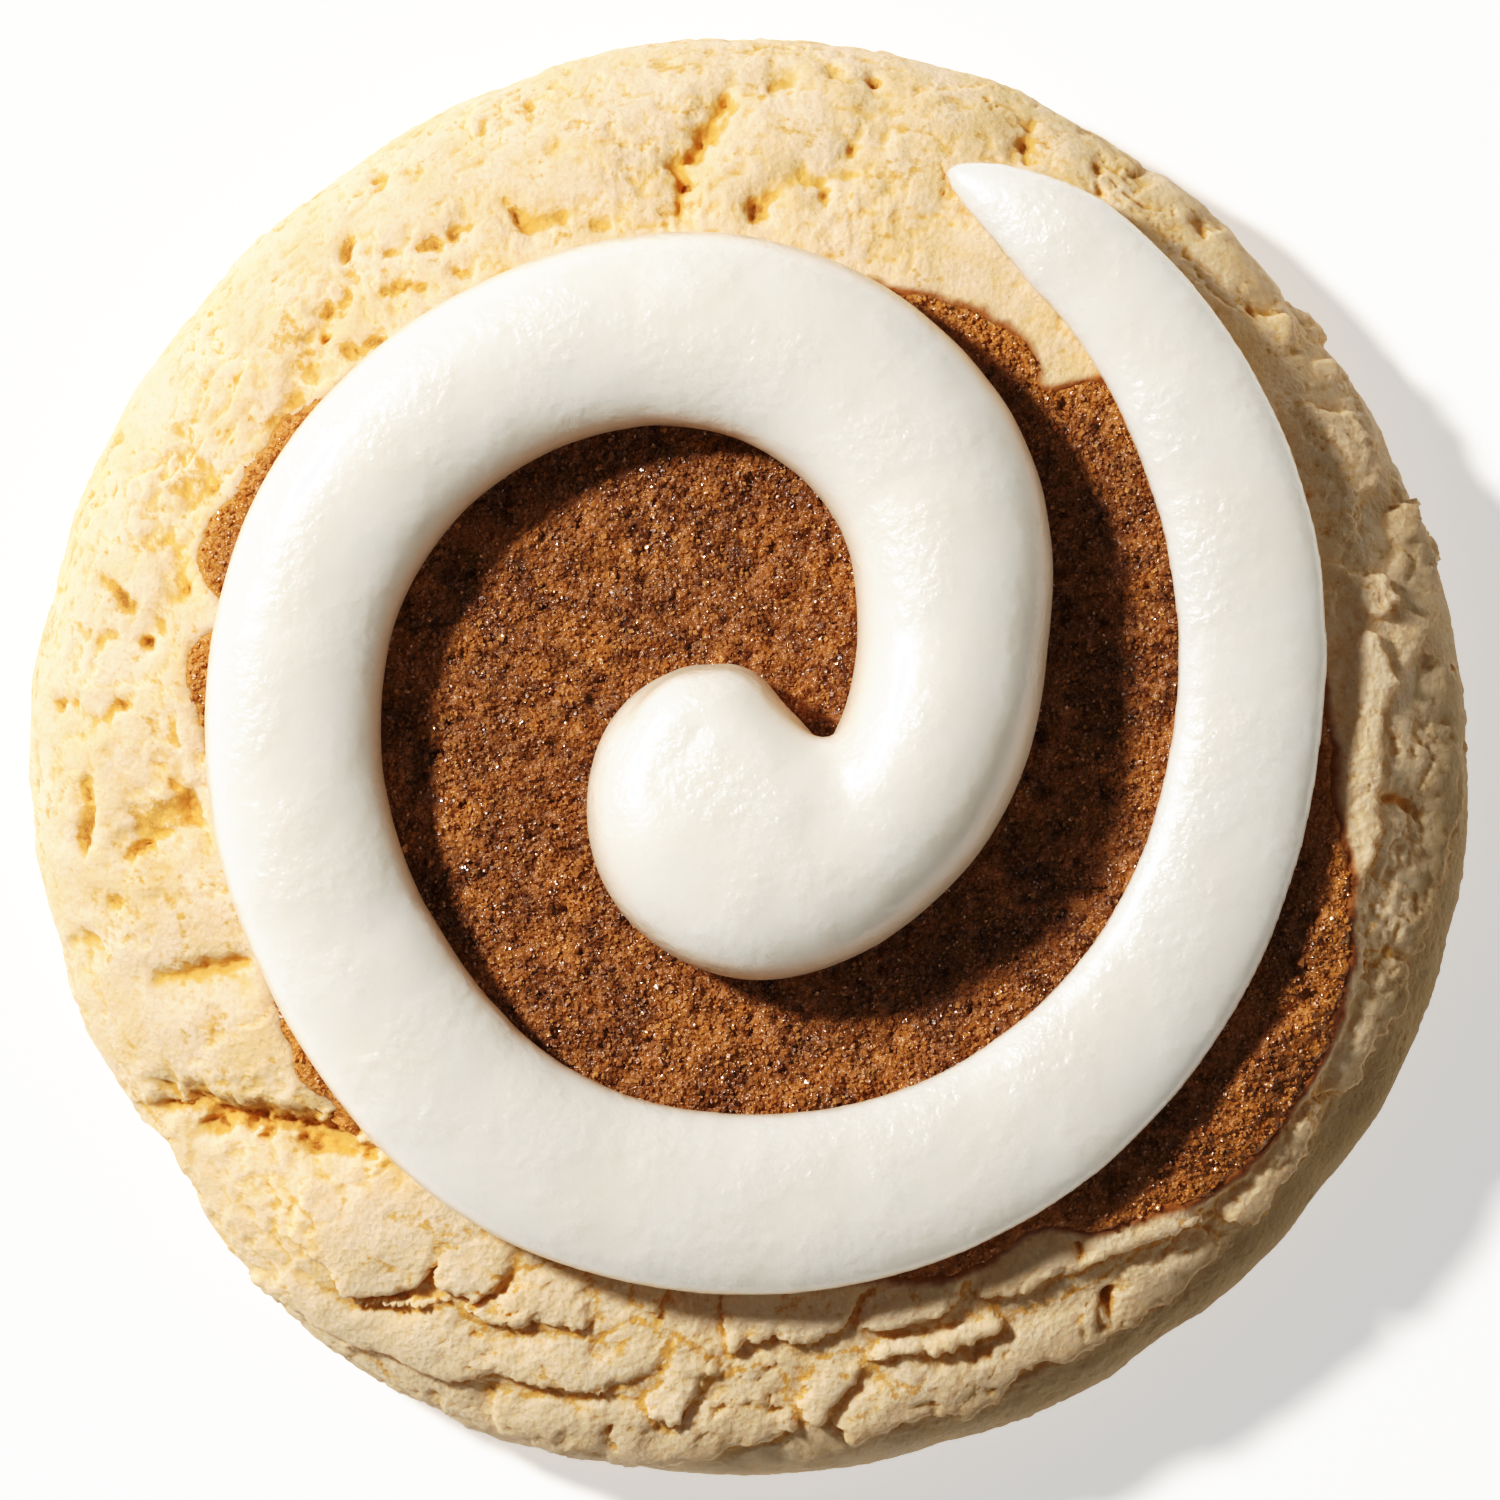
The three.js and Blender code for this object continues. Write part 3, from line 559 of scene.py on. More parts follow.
# Slabs of dough along the bottom and the right that broke apart as the cookie spread: how far the
# slab's top lies below the smooth dome, how far its edge drops, how round the edge is, its outline.
SLABS = [
    # bottom left
    (0, 0.9, 1.6, [
        (-34, -36), (-30.2, -40.2), (-26.4, -40.3), (-24.2, -39.4), (-22.6, -37), (-20, -36.2), (-20, -30),
        (-34, -30)]),
    (0.2, 1, 1.5, [
        (-23.6, -39.8), (-22.2, -40.7), (-20.6, -41.2), (-19.2, -40.4), (-17.8, -38.4), (-17.2, -35),
        (-22, -35), (-23.2, -37.6)]),
    (0.3, 1.6, 1.8, [
        (-30, -41), (-26, -41.2), (-22.6, -41.2), (-20, -42.2), (-17.6, -43.4), (-16.4, -42.8),
        (-13.6, -43.1), (-11.9, -42.6), (-11.4, -40.4), (-12.6, -38.8), (-15, -37.9), (-17.4, -38.6),
        (-19, -40.8), (-20.6, -41.5), (-22.6, -41), (-26, -40.7)]),
    (0.5, 1.9, 1.8, [
        (-38.4, -38.4), (-34, -41.8), (-30, -44.2), (-25.2, -46.2), (-22, -47), (-18.6, -47.1),
        (-15, -47.9), (-11.5, -47.8), (-8.6, -47), (-6.4, -46.3), (-5.9, -44.6), (-8.2, -42.9),
        (-10.2, -43.2), (-11.6, -44.4), (-13.5, -44), (-16.4, -43.6), (-17.6, -44.2), (-20, -43.2),
        (-22.7, -42), (-26, -42), (-30, -41.6), (-34, -38.4)]),
    (0.6, 1.6, 1.4, [
        (-8.6, -39), (-8.4, -41), (-6.8, -42.4), (-6.2, -40.8), (-6, -38.6)]),
    # bottom
    (0.6, 1.9, 1.3, [
        (-6.4, -46), (-5.7, -44.1), (-4.3, -44.7), (-2.4, -45.4), (-2.3, -46.4), (-3.6, -47), (-4.4, -48.4),
        (-5.6, -50), (-7.2, -50.2), (-8.2, -49), (-6.6, -47.4)]),
    (0.6, 1.5, 1.6, [
        (-19.4, -48.4), (-16, -48.8), (-12, -48.7), (-8.4, -48.8), (-7, -50.6), (-5.6, -50.4),
        (-4.2, -48.9), (-3.2, -47.6), (-2.2, -46.8), (-0.8, -46.5), (0.6, -46.2), (2.5, -47.2), (2.8, -49),
        (3.9, -50.2), (3, -51.2), (1.4, -51.8), (-3, -52.5), (-6, -53.1), (-10, -53.2), (-13.6, -52.4),
        (-18.6, -50.8)]),
    (0.2, 1.5, 1.5, [
        (-1.2, -45.2), (-0.2, -44), (2, -44), (4.8, -44.6), (7, -42.8), (7.7, -41.1), (9.6, -39.2),
        (9, -36), (0, -37), (-1.6, -40), (-2, -42.4)]),
    (0.1, 1.5, 1.5, [
        (10.2, -39.2), (8.2, -41.4), (8, -43), (10.4, -43.1), (13.8, -42.1), (15.9, -40.4),
        (16.2, -37.6), (13, -36)]),
    (0, 1.3, 1.6, [
        (16.6, -38.6), (17, -40.4), (19.6, -40.6), (24, -38.8), (28, -37.2), (32, -35.9), (34, -34.9),
        (32.6, -33), (28, -34.4), (22, -36)]),
    (0.4, 1.9, 1.3, [
        (3.9, -48.9), (4.1, -47.2), (5.4, -46), (8.4, -45.1), (8.9, -46), (8.2, -47.2), (6.9, -48.2),
        (5.7, -49.9), (4.6, -50)]),
    (0.4, 2, 1.8, [
        (8.8, -46.8), (7.4, -48.8), (6, -50.4), (8, -51.2), (10.4, -50.9), (12, -50.1), (15.6, -49.6),
        (18.6, -48.6), (20.2, -46.8), (24, -45.3), (27.8, -43.2), (31.4, -41.4), (33.6, -39.4), (34.9, -38),
        (35.5, -36.6), (34.4, -35.7), (32, -36.5), (29.6, -37.9), (27, -39.5), (24, -40.9), (20.6, -42.4),
        (19.3, -43.9), (17, -44.8), (12, -45.4)]),
    (0.3, 1.6, 1.2, [
        (8.7, -45.6), (9.5, -44.4), (12, -43.7), (16, -42.6), (18.6, -41.7), (19.5, -42.5), (18.4, -43.8),
        (16.4, -44.6), (12, -45.2)]),
    # lower right
    (-0.1, 2.1, 1.5, [
        (35.3, -34.1), (35.8, -35), (37.6, -34.9), (38.5, -33.9), (39.6, -32.1), (41.5, -30.1),
        (42.5, -28.6), (43, -26.7), (42.1, -25.7), (41, -26.2), (40, -27.6), (38.4, -29.5), (37, -31),
        (36, -32.6)]),
    (-0.1, 2.1, 1.6, [
        (43.3, -25.5), (44.6, -26), (45.7, -24.3), (46.2, -22.5), (47.4, -20.3), (48.8, -18.8), (49.3, -16),
        (48.2, -15.2), (46.4, -16.2), (45, -18.4), (44, -21), (43.4, -23.2)]),
    # right
    (0.7, 1.4, 1.6, [
        (46.2, -10.5), (47.7, -6.4), (48, -2), (48.2, 1), (49.2, 4.2), (50.6, 7.6), (52.2, 7.2), (53.4, 3),
        (53.5, -2.2), (53.1, -5), (52.1, -8), (51.2, -10.6), (50.2, -12.9), (49.6, -15), (48.4, -14.8),
        (46.6, -14.6), (45.6, -13)]),
    (0.1, 1.3, 1.5, [
        (43.4, 7), (45, 8.8), (46.6, 9.4), (47.4, 7.4), (47.9, 5.4), (47.7, 3.6), (47.2, 1.4), (47.3, -1),
        (47, -4.8), (47.1, -6.2), (46.4, -8), (45.6, -10.2), (43.4, -9.6), (42.2, -6), (41, -2), (40, 2),
        (41, 6)]),
    (0.1, 1.3, 1.4, [
        (41.4, 14.6), (43.2, 15), (44.4, 14.2), (45.6, 13.2), (47.2, 13.4), (48.2, 11.8), (46.8, 10.4),
        (44.4, 12.2), (43.8, 10), (43.2, 7.6), (40, 8)]),
    (-0.8, 1.7, 1.5, [
        (48.2, 18.6), (49.5, 18.6), (50.6, 16), (51, 13.4), (50.8, 10.2), (49.9, 8.4), (48.4, 5.2),
        (47.7, 6.2), (47.2, 8), (46.9, 10), (48.2, 10.6), (48.1, 12.4), (47.4, 13.6), (48.4, 15.4),
        (48, 17)]),
    # top right
    (-0.1, 1.5, 1.6, [
        (39, 25.2), (41.4, 26), (43.2, 25.3), (45, 25.6), (45.3, 24.2), (46.5, 23.3), (46.9, 21),
        (46, 19.2), (45.5, 18.2), (45.1, 16.8), (44.3, 15.6), (43.3, 15.7), (42.2, 16.2), (40.6, 17),
        (38, 20)]),
    (0, 1.6, 1.2, [
        (40.7, 28.2), (41.8, 27.2), (42.9, 27.2), (43.9, 27.9), (43.9, 29), (43.2, 29.7), (41.8, 29.2)]),
    (0, 1.4, 1.4, [
        (34, 34), (36.3, 32.9), (37.2, 32.4), (38.8, 32.8), (40.1, 32.9), (40.8, 31.8), (40.8, 30.4),
        (39.8, 29.2), (38.6, 28.8), (36.6, 27.4), (34, 28)]),
    (0.1, 1.4, 1.2, [
        (41.1, 33.3), (42.2, 32.8), (43.1, 31.6), (43.1, 30.6), (42.1, 29.7), (41.6, 30.8), (41, 31.8)]),
]
SUNK_FROM, SUNK_TO = 226, 400  # the stretch of the rim that has slabs, in degrees
SUNK_DEPTH = 1.45  # how far the dough between the slabs lies below the dome
SLAB_RELIEF = 0.66  # the share of that depth, and of the slabs' depths and drops, that is used
SLAB_FLATNESS = 0.3  # how much flatter a slab lies than the dome around it
WANDER = 0.8  # how far cracks and slab edges stray from their lines
CRUMB = 0.75  # size of the crumbs that show on the surface


def near_line(x, y, line):
    """Distance to a line of points, the way to it, its share of the length, and which side."""
    distance = np.full(x.shape, 1e9)
    way_x, way_y = np.zeros(x.shape), np.zeros(x.shape)
    share = np.zeros(x.shape)
    outside = np.zeros(x.shape, bool)
    lengths = [math.dist(a, b) for a, b in zip(line, line[1:])]
    run = 0.0
    for (ax, ay), (bx, by), length in zip(line, line[1:], lengths):
        t = np.clip(((x - ax) * (bx - ax) + (y - ay) * (by - ay)) / length**2, 0, 1)
        qx, qy = ax + t * (bx - ax), ay + t * (by - ay)
        here = np.hypot(x - qx, y - qy)
        closer = here < distance
        distance = np.where(closer, here, distance)
        way_x, way_y = np.where(closer, qx - x, way_x), np.where(closer, qy - y, way_y)
        share = np.where(closer, (run + t * length) / sum(lengths), share)
        outside = np.where(closer, np.hypot(x, y) > np.hypot(qx, qy), outside)
        run += length
    return distance, way_x, way_y, share, outside


def inside_outline(x, y, outline):
    """Whether each point lies inside a closed outline."""
    inside = np.zeros(x.shape, bool)
    for (ax, ay), (bx, by) in zip(outline, outline[1:] + outline[:1]):
        if ay == by:
            continue
        crosses = (ay > y) != (by > y)
        inside ^= crosses & (x < ax + (y - ay) * (bx - ax) / (by - ay))
    return inside


def nearby(x, y, line, reach):
    low = np.min(line, axis=0) - reach
    high = np.max(line, axis=0) + reach
    return np.nonzero((x > low[0]) & (x < high[0]) & (y > low[1]) & (y < high[1]))[0]


def soft_lumps(points):
    """The gentle unevenness of the whole top."""
    return 0.42 * layered(points, 6.5, 67, 2, 0.5)


class Relief:
    """How far each point of the dough is pressed in and slides sideways, and how deep in tone it is.
    Its steps are run in order, because each presses on what the ones before it left."""

    def __init__(self, points):
        self.points = points
        self.x, self.y = points[:, 0], points[:, 1]
        self.degrees = degrees_of(self.x, self.y)
        self.share = np.hypot(self.x, self.y) / even_rim_radius(self.degrees)
        # outlines and cracks are looked up at wandering places, so that none of them runs straight
        self.wx = self.x + WANDER * layered(points, 2.8, 11, 3, 0.8)
        self.wy = self.y + WANDER * layered(points, 2.8, 15, 3, 0.8)
        self.ragged = layered(points, 1.3, 21, 3, 0.85) * (1 - 0.6 * smoothstep(self.share, 0.91, 0.97))
        self.beyond_patch = -inside_patch(self.x, self.y)
        self.on_right = around(self.degrees, 12, 40)
        self.patchy = smoothstep(layered(points, 7, 59, 2), -0.1, 0.4) * smoothstep(self.share, 0.6, 0.7)
        # the lower right of the side is smooth, below where the slabs end
        self.rough = 1 - 0.75 * smoothstep(self.share, 0.93, 0.97) * around(self.degrees, 315, 50)
        past, stretch = (self.degrees - SUNK_FROM) % 360, SUNK_TO - SUNK_FROM
        self.window = smoothstep(past, 0, 10) * (1 - smoothstep(past, stretch - 14, stretch))
        self.slide = np.zeros((len(points), 2))
        self.pressed = np.zeros(len(points))
        self.crevice = np.zeros(len(points))

    def deepen(self, tone, near=slice(None)):
        """Gives points at least this much of the crevice colour, which is partly the yellower crumb inside
        cracks and partly painted shade.
        """
        self.crevice[near] = np.maximum(self.crevice[near], tone)

    def lean(self, near, share, way_x, way_y, distance):
        """Slides points towards the line that they lie next to."""
        self.slide[near, 0] += share * way_x / distance
        self.slide[near, 1] += share * way_y / distance

    def carve(self, pattern, depth, tone=0.0):
        """Presses a pattern of 0 to 1 in, and gives it the crevice colour."""
        self.pressed += depth * pattern
        self.deepen(tone * pattern)

    def slabs(self):
        """The sunken dough along the bottom and the right, and the broken slabs that stand on it."""
        sunk = SUNK_DEPTH - 0.3 * smoothstep(self.share, 0.9, 0.96) - smoothstep(self.share, 0.94, 1.0)
        sunk = sunk + 0.35 * self.ragged
        sunk = sunk * smoothstep(self.share, 0.66, 0.72) * smoothstep(self.beyond_patch, -0.2, 1.8)
        self.pressed += SLAB_RELIEF * sunk * self.window * (1 - 0.6 * self.on_right)
        slab_side = np.zeros(len(self.x))
        smooth_height = top_height(self.x, self.y)
        for top, drop, roundness, outline in SLABS:
            near = nearby(self.wx, self.wy, outline, 1.5)
            if not len(near):
                continue
            x, y, wx, wy = self.x[near], self.y[near], self.wx[near], self.wy[near]
            middle = np.mean(outline, axis=0)
            level = SLAB_FLATNESS * (smooth_height[near] - float(top_height(*middle[:, None])[0]))
            distance, way_x, way_y, _, _ = near_line(wx, wy, outline + outline[:1])
            inside = inside_outline(wx, wy, outline)
            size = np.maximum(distance, 0.1)
            outward = (way_x * x + way_y * y) / (size * np.hypot(x, y))
            reach = roundness * (1.3 - 0.85 * smoothstep(outward, -0.5, 0.5))
            depth = np.clip((distance + 0.6 * self.ragged[near]) / reach, 0, 1)
            edge = top + 0.85 * drop * (1 - np.sqrt(1 - (1 - depth) ** 2))
            edge = SLAB_RELIEF * (1 - 0.5 * self.on_right[near]) * edge + np.clip(level, -0.8, 0.8)
            stands = inside & (edge < self.pressed[near])
            self.pressed[near] = np.where(stands, edge, self.pressed[near])
            overhang = 0.15 * bell(distance, 0.7) * inside * smoothstep(outward, -0.2, 0.4)
            self.lean(near, overhang, way_x, way_y, size)
            slab_side[near] = np.maximum(slab_side[near], np.exp(-distance / 0.7) * ~inside)
        # painted shade: the crevice colour in the low gaps beside the slabs
        self.deepen(0.5 * slab_side * smoothstep(self.pressed, 0.25, 0.6))

    def marks(self):
        """The single cracks, dents and ledges."""
        broken = smoothstep(layered(self.points, 1.6, 31, 2), -0.45, 0.25)
        for line, depth, width, *ledge in MARKS:
            step, step_reach, lip = ledge or (0.0, 1, 0.0)
            near = nearby(self.wx, self.wy, line, 3 * width + step_reach + 1)
            if not len(near):
                continue
            distance, way_x, way_y, along, outside = near_line(self.wx[near], self.wy[near], line)
            taper = smoothstep(np.minimum(along, 1 - along), -0.08, 0.14)
            frayed = np.maximum(distance + 0.85 * width**0.5 * self.ragged[near], 0)
            core = broken[near] ** 1.5 if width < 0.7 else 0.4 + 0.6 * broken[near]
            narrow = np.exp(-((frayed / (width * (0.4 + 0.65 * core))) ** 1.6)) * core
            wide = bell(distance, 3.0 * width)
            self.pressed[near] += taper * depth * (0.75 * narrow + 0.34 * wide)
            lip_round = 0.4 * bell(distance, 0.9)
            below = np.where(outside, 1 - smoothstep(distance, 0, step_reach), lip_round)
            self.pressed[near] += below * step * taper
            # painted shade: a soft golden band over wide dents and ledges
            if width > 0.8:
                gold = 0.26 if step > 0.8 else min(0.46, 0.28 * depth)
                self.deepen(gold * (bell(distance, 1.15 * width) * taper), near)
            # painted shadow: a brown band just below the lip of a high ledge
            if step > 0.8:
                self.deepen(0.62 * (outside * bell(distance, 0.9) * taper), near)
            tone = min(1.0, 0.4 + 0.4 * depth) if width < 0.75 else min(0.65, 0.2 + 0.28 * depth)
            self.deepen(narrow * taper * tone, near)
            overhang = 0.3 * lip * taper * bell(distance, 1.3) * ~outside
            self.lean(near, overhang, way_x, way_y, np.maximum(distance, 0.15))

    def tears(self):
        """Ragged tears that follow the rim in patches, with hair cracks, pits and fine furrows."""
        points, outer = self.points, smoothstep(self.share, 0.6, 0.7)
        along_rim = np.stack([np.radians(self.degrees) * 50 / 2.2, self.share * 50, points[:, 2]], axis=1)
        bent = along_rim + 0.9 * np.stack([noise(points, 2.2, n) for n in (41, 42, 43)], axis=1)
        tear = layered(bent, 3.4, 53, 3, 0.55)
        torn = (1 - smoothstep(np.abs(tear), 0.0, 0.085)) * self.patchy * self.rough
        self.carve(torn, depth=0.34, tone=0.34)
        self.carve(smoothstep(tear, -0.1, 0.1) * self.patchy * self.rough, depth=0.12)
        hair = layered(bent - 30, 4.6, 151, 4, 0.6)
        hair = (1 - smoothstep(np.abs(hair), 0.0, 0.05)) * outer * self.rough
        self.carve(hair, depth=0.2, tone=0.22)
        pit = smoothstep(layered(points, 1.4, 61, 3, 0.85), 0.42, 0.62)
        self.carve(pit * (0.1 + 0.9 * self.patchy) * self.rough, depth=0.35, tone=0.45)
        furrow = smoothstep(layered(bent + 40, 1.9, 131, 4, 0.75), 0.1, 0.5)
        furrow = furrow * smoothstep(self.share, 0.55, 0.6) * self.rough
        self.carve(furrow, depth=0.08, tone=0.3)

    def grain(self):
        """Crumbs, soft lumps and grain all over, and the dip where the dough meets the cinnamon."""
        points = self.points
        distance, own = cells(points, CRUMB, 137)
        grainy = 0.2 + 0.8 * smoothstep(layered(points, 5, 141, 3), -0.05, 0.35)
        grainy = grainy * (0.3 + 0.7 * self.rough)
        self.pressed -= grainy * (0.12 * (0.5 - distance / CRUMB) + 0.08 * (own - 0.5))
        self.pressed -= soft_lumps(points)
        self.pressed -= 0.12 * np.abs(layered(points, 2.6, 69, 3, 0.6)) * self.rough
        self.pressed -= grainy * (0.09 * noise(points, 1.0, 73) + 0.1 * noise(points, 0.6, 79))
        self.pressed += 1.3 * smoothstep(-self.beyond_patch, 0.1, 0.9)

    def tones(self):
        """The vertex attributes that colour the dough."""
        # painted shade on the lower right of the rim, the side turned away from the key light
        rim_shade = smoothstep(self.share, 0.91, 0.97) * around(self.degrees, 325, 60)
        stain = 1 - smoothstep(self.beyond_patch + 0.3 * self.ragged, 0.1, 0.9)
        stain *= 0.3 + 0.7 * smoothstep(self.x, -30, 0)
        crevice = np.clip(self.crevice * (1 - 0.35 * self.on_right), 0, 1)
        return {"crevice": crevice, "rim_shade": rim_shade, "stain": stain, "slabs": self.window}


def blurred(values, steps):
    """A grid of values smoothed over its neighbours; it wraps round the cookie."""
    for _ in range(steps):
        values = (np.roll(values, 1, axis=1) + 2 * values + np.roll(values, -1, axis=1)) / 4
        padded = np.concatenate([values[:1], values, values[-1:]])
        values = (padded[:-2] + 2 * values + padded[2:]) / 4
    return values


def dough_grid():
    """Rings of points on the smooth dough, from the edge of its base up and in to the patch."""
    degrees = np.arange(DOUGH_SECTORS) * 360 / DOUGH_SECTORS
    cos, sin = np.cos(np.radians(degrees)), np.sin(np.radians(degrees))
    rim = rim_radius(degrees)
    rings = []
    for k in range(DOUGH_SIDE_RINGS):
        turn = k / DOUGH_SIDE_RINGS * math.pi / 2
        radius = rim * (BASE_FRACTION + (1 - BASE_FRACTION) * math.sin(turn))
        height = np.full(DOUGH_SECTORS, BELLY_HEIGHT * (1 - math.cos(turn)))
        rings.append(np.stack([radius * cos, radius * sin, height], axis=1))
    inner = patch_radius(degrees) - UNDER_PATCH
    for k in range(DOUGH_TOP_RINGS + 1):
        share = (k / DOUGH_TOP_RINGS) ** DOUGH_RING_POWER
        x = rim * cos * (1 - share) + (PATCH_X + inner * cos) * share
        y = rim * sin * (1 - share) + (PATCH_Y + inner * sin) * share
        height = top_height(x, y) if k else np.full(DOUGH_SECTORS, BELLY_HEIGHT)
        rings.append(np.stack([x, y, height], axis=1))
    return np.array(rings)


def grid_normals(grid):
    along = np.roll(grid, -1, axis=1) - np.roll(grid, 1, axis=1)
    up = np.gradient(grid, axis=0)
    normal = np.cross(along, up)
    return normal / np.maximum(np.linalg.norm(normal, axis=2, keepdims=True), 1e-9)


def baked_dough():
    grid = dough_grid()
    normals = grid_normals(grid)
    points = grid.reshape(-1, 3)
    relief = Relief(points)
    for step in (relief.slabs, relief.marks, relief.tears, relief.grain):
        step()
    tones = relief.tones()
    levels = relief.pressed.reshape(grid.shape[:2])
    # how far each point lies below the dough around it, which the look paints in golden shade
    hollow = smoothstep(levels - blurred(levels, BROAD_BLUR), 0.05, 0.9).ravel()
    tones["hollow"] = hollow * (1 - 0.5 * tones["slabs"])
    # how far each point lies below its close neighbours, which the look paints in golden shade
    tones["dimple_shade"] = smoothstep(levels - blurred(levels, FINE_BLUR), 0.0, 0.08).ravel()
    on_foot = smoothstep(points[:, 2], 0.0, 1.5)
    moved = points - normals.reshape(-1, 3) * (relief.pressed * on_foot)[:, None]
    moved[:, :2] += relief.slide * smoothstep(points[:, 2], 3.0, 8.0)[:, None]
    moved[:, 2] = np.maximum(moved[:, 2], 0.0)

    # the flat base inward from the foot, and the pocket's wall and floor
    foot = grid[0]
    base_shares = [0.97, 0.88, 0.7, 0.45, 0.2]
    base = [foot * (share, share, 0) for share in reversed(base_shares)]
    rim_of_pocket = moved.reshape(grid.shape)[-1]
    wall = rim_of_pocket - (0, 0, POCKET_DEPTH)
    floor = wall * (0.5, 0.5, 1)
    base_points = np.concatenate(base)
    lower = len(base_points)
    vertices = np.concatenate([base_points, moved, wall, floor])
    rings = len(base) + len(grid) + 2
    faces = ring_faces(rings, DOUGH_SECTORS)
    ends = np.array([[0, 0, 0], [0, 0, floor[:, 2].mean()]])
    first_end = len(vertices)
    sector = np.arange(DOUGH_SECTORS)
    after = (sector + 1) % DOUGH_SECTORS
    last_ring = (rings - 1) * DOUGH_SECTORS
    under = np.stack([np.full_like(sector, first_end), after, sector], axis=1)
    over = np.stack([last_ring + sector, last_ring + after, np.full_like(sector, first_end + 1)], axis=1)
    vertices = np.concatenate([vertices, ends])
    above = len(vertices) - lower - len(moved)
    attributes = {key: np.pad(values, (lower, above)) for key, values in tones.items()}
    obj = mesh_object("baked_dough", vertices, faces, attributes)
    close_ends(obj, under, over)
    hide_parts("cookie_dough")
    return obj


def close_ends(obj, *fans):
    """Adds triangles to a finished grid mesh."""
    work = bmesh.new()
    work.from_mesh(obj.data)
    work.verts.ensure_lookup_table()
    for fan in fans:
        for triangle in fan:
            work.faces.new([work.verts[int(i)] for i in triangle]).smooth = True
    bmesh.ops.recalc_face_normals(work, faces=work.faces)
    work.to_mesh(obj.data)
    work.free()


# ----- Cinnamon filling

PATCH_CELLS = 270  # of the grid, from one side of the patch to the other
PATCH_OVERLAP = 1.2  # how far the filling runs on under the dough at its edge
PATCH_PROUD = 0.12  # how far it stands above the dough inside its edge
SUGAR_LUMP = 0.5  # size of the grains in its surface


def disc_grid(count):
    """A square grid of points bent into a round disc of radius 1, evenly spaced."""
    a, b = np.meshgrid(np.linspace(-1, 1, count + 1), np.linspace(-1, 1, count + 1), indexing="ij")
    wide = np.abs(a) > np.abs(b)
    radius = np.where(wide, a, b)
    with np.errstate(divide="ignore", invalid="ignore"):
        turn = np.where(wide, math.pi / 4 * b / a, math.pi / 2 - math.pi / 4 * a / b)
    turn = np.nan_to_num(turn)
    return radius * np.cos(turn), radius * np.sin(turn)


def filling_height(x, y):
    """The cinnamon's surface: grainy, a little proud of the dough, and dipping under it outside."""
    points = np.stack([x, y, np.zeros_like(x)], axis=1)
    distance, own = cells(points, SUGAR_LUMP, 83)
    grain = 0.13 * (0.5 - distance / SUGAR_LUMP) + 0.1 * (own - 0.5)
    clumps = 0.5 * layered(points, 2.2, 89, 3, 0.7)
    pits = smoothstep(layered(points, 0.9, 97, 2, 0.7), 0.3, 0.6)
    edge = inside_patch(x, y)
    dip = -1.5 * smoothstep(-edge, -0.35, 0.7)
    smooth = top_height(x, y)
    lumps = soft_lumps(np.stack([x, y, smooth], axis=1)) * smoothstep(np.hypot(x, y), 30, 40)
    height = smooth + PATCH_PROUD + lumps + grain + clumps - 0.3 * pits + dip
    thin = (1 - smoothstep(edge, 0.0, 4.5)) * (0.6 + 0.25 * smoothstep(-x, 22, 32))
    return height, pits, thin


def cinnamon_filling():
    u, v = disc_grid(PATCH_CELLS)
    turn = np.degrees(np.arctan2(v, u)) % 360
    radius = np.hypot(u, v) * (patch_radius(turn) + PATCH_OVERLAP)
    x = (PATCH_X + radius * np.cos(np.radians(turn))).ravel()
    y = (PATCH_Y + radius * np.sin(np.radians(turn))).ravel()
    z, pits, thin = filling_height(x, y)
    count = PATCH_CELLS + 1
    i, j = np.meshgrid(np.arange(PATCH_CELLS), np.arange(PATCH_CELLS), indexing="ij")
    corner = i * count + j
    quads = np.stack([corner, corner + count, corner + count + 1, corner + 1], axis=-1).reshape(-1, 4)
    top = np.stack([x, y, z], axis=1)

    # the edge runs down to a flat underside
    index = np.arange(count * count).reshape(count, count)
    border = np.concatenate([index[:-1, 0], index[-1, :-1], index[:0:-1, -1], index[0, :0:-1]])
    drop = top[border] - (0, 0, 1.0)
    first = len(top)
    after = np.roll(np.arange(len(border)), -1)
    side = np.stack([border, first + np.arange(len(border)), first + after, border[after]], axis=1)
    middle = first + len(border)
    vertices = np.concatenate([top, drop, [[PATCH_X, PATCH_Y, COOKIE_HEIGHT - 1.8]]])
    below = np.zeros(len(vertices) - first)
    obj = mesh_object(
        "cinnamon_sugar", vertices, np.concatenate([quads, side]),
        {"pit": np.concatenate([pits, below]), "thin": np.concatenate([thin, below])})
    under = np.stack([np.full(len(border), middle), first + after, first + np.arange(len(border))], axis=1)
    close_ends(obj, under)
    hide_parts("cinnamon_filling")
    return obj


# ----- Icing swirl

ICING_CELL = 0.45
ICING_SINK = 0.35  # how far the icing presses into what it lies on
STATION_PITCH = 0.35  # distance between the points that carry the rope's sections
BATCHES = 60  # points are compared with the rope's line in batches, to save memory
OUTSIDE = 5.0  # what the field holds where there is no icing nearby
JOIN_LOW, JOIN_FILL, JOIN_TIP = 0.3, 3.2, 2.7  # softness of creases: at the foot, and added at the top
JOIN_FROM, JOIN_TO = 4.6, 7.5  # the height above the cookie over which that is added
TIP_STEPS = 9  # blobs from one place of the tip to the next, with both ends
ROPE_FROM_WIDTH = 8.2  # the rope is left out where it is thinner than this; the tip takes its place
# The blunt tip of the rope inside the curl, from its crease with the rope back: x, y, radius, height.
TIP = [
    (2.4, -2.2, 4.2, 9.6), (0.6, -0.7, 4.6, 9.8), (-1.0, 0.7, 4.75, 9.6), (-1.8, 2.6, 4.2, 9.1),
    (-3.6, 2.4, 4.2, 8.7),
]
# The icing that fills the hollow of the curl below the tip: x, y, radius in x and y, height.
CURL_FILL = (0.2, -5.2, 7.8, 5.6, 9.8)


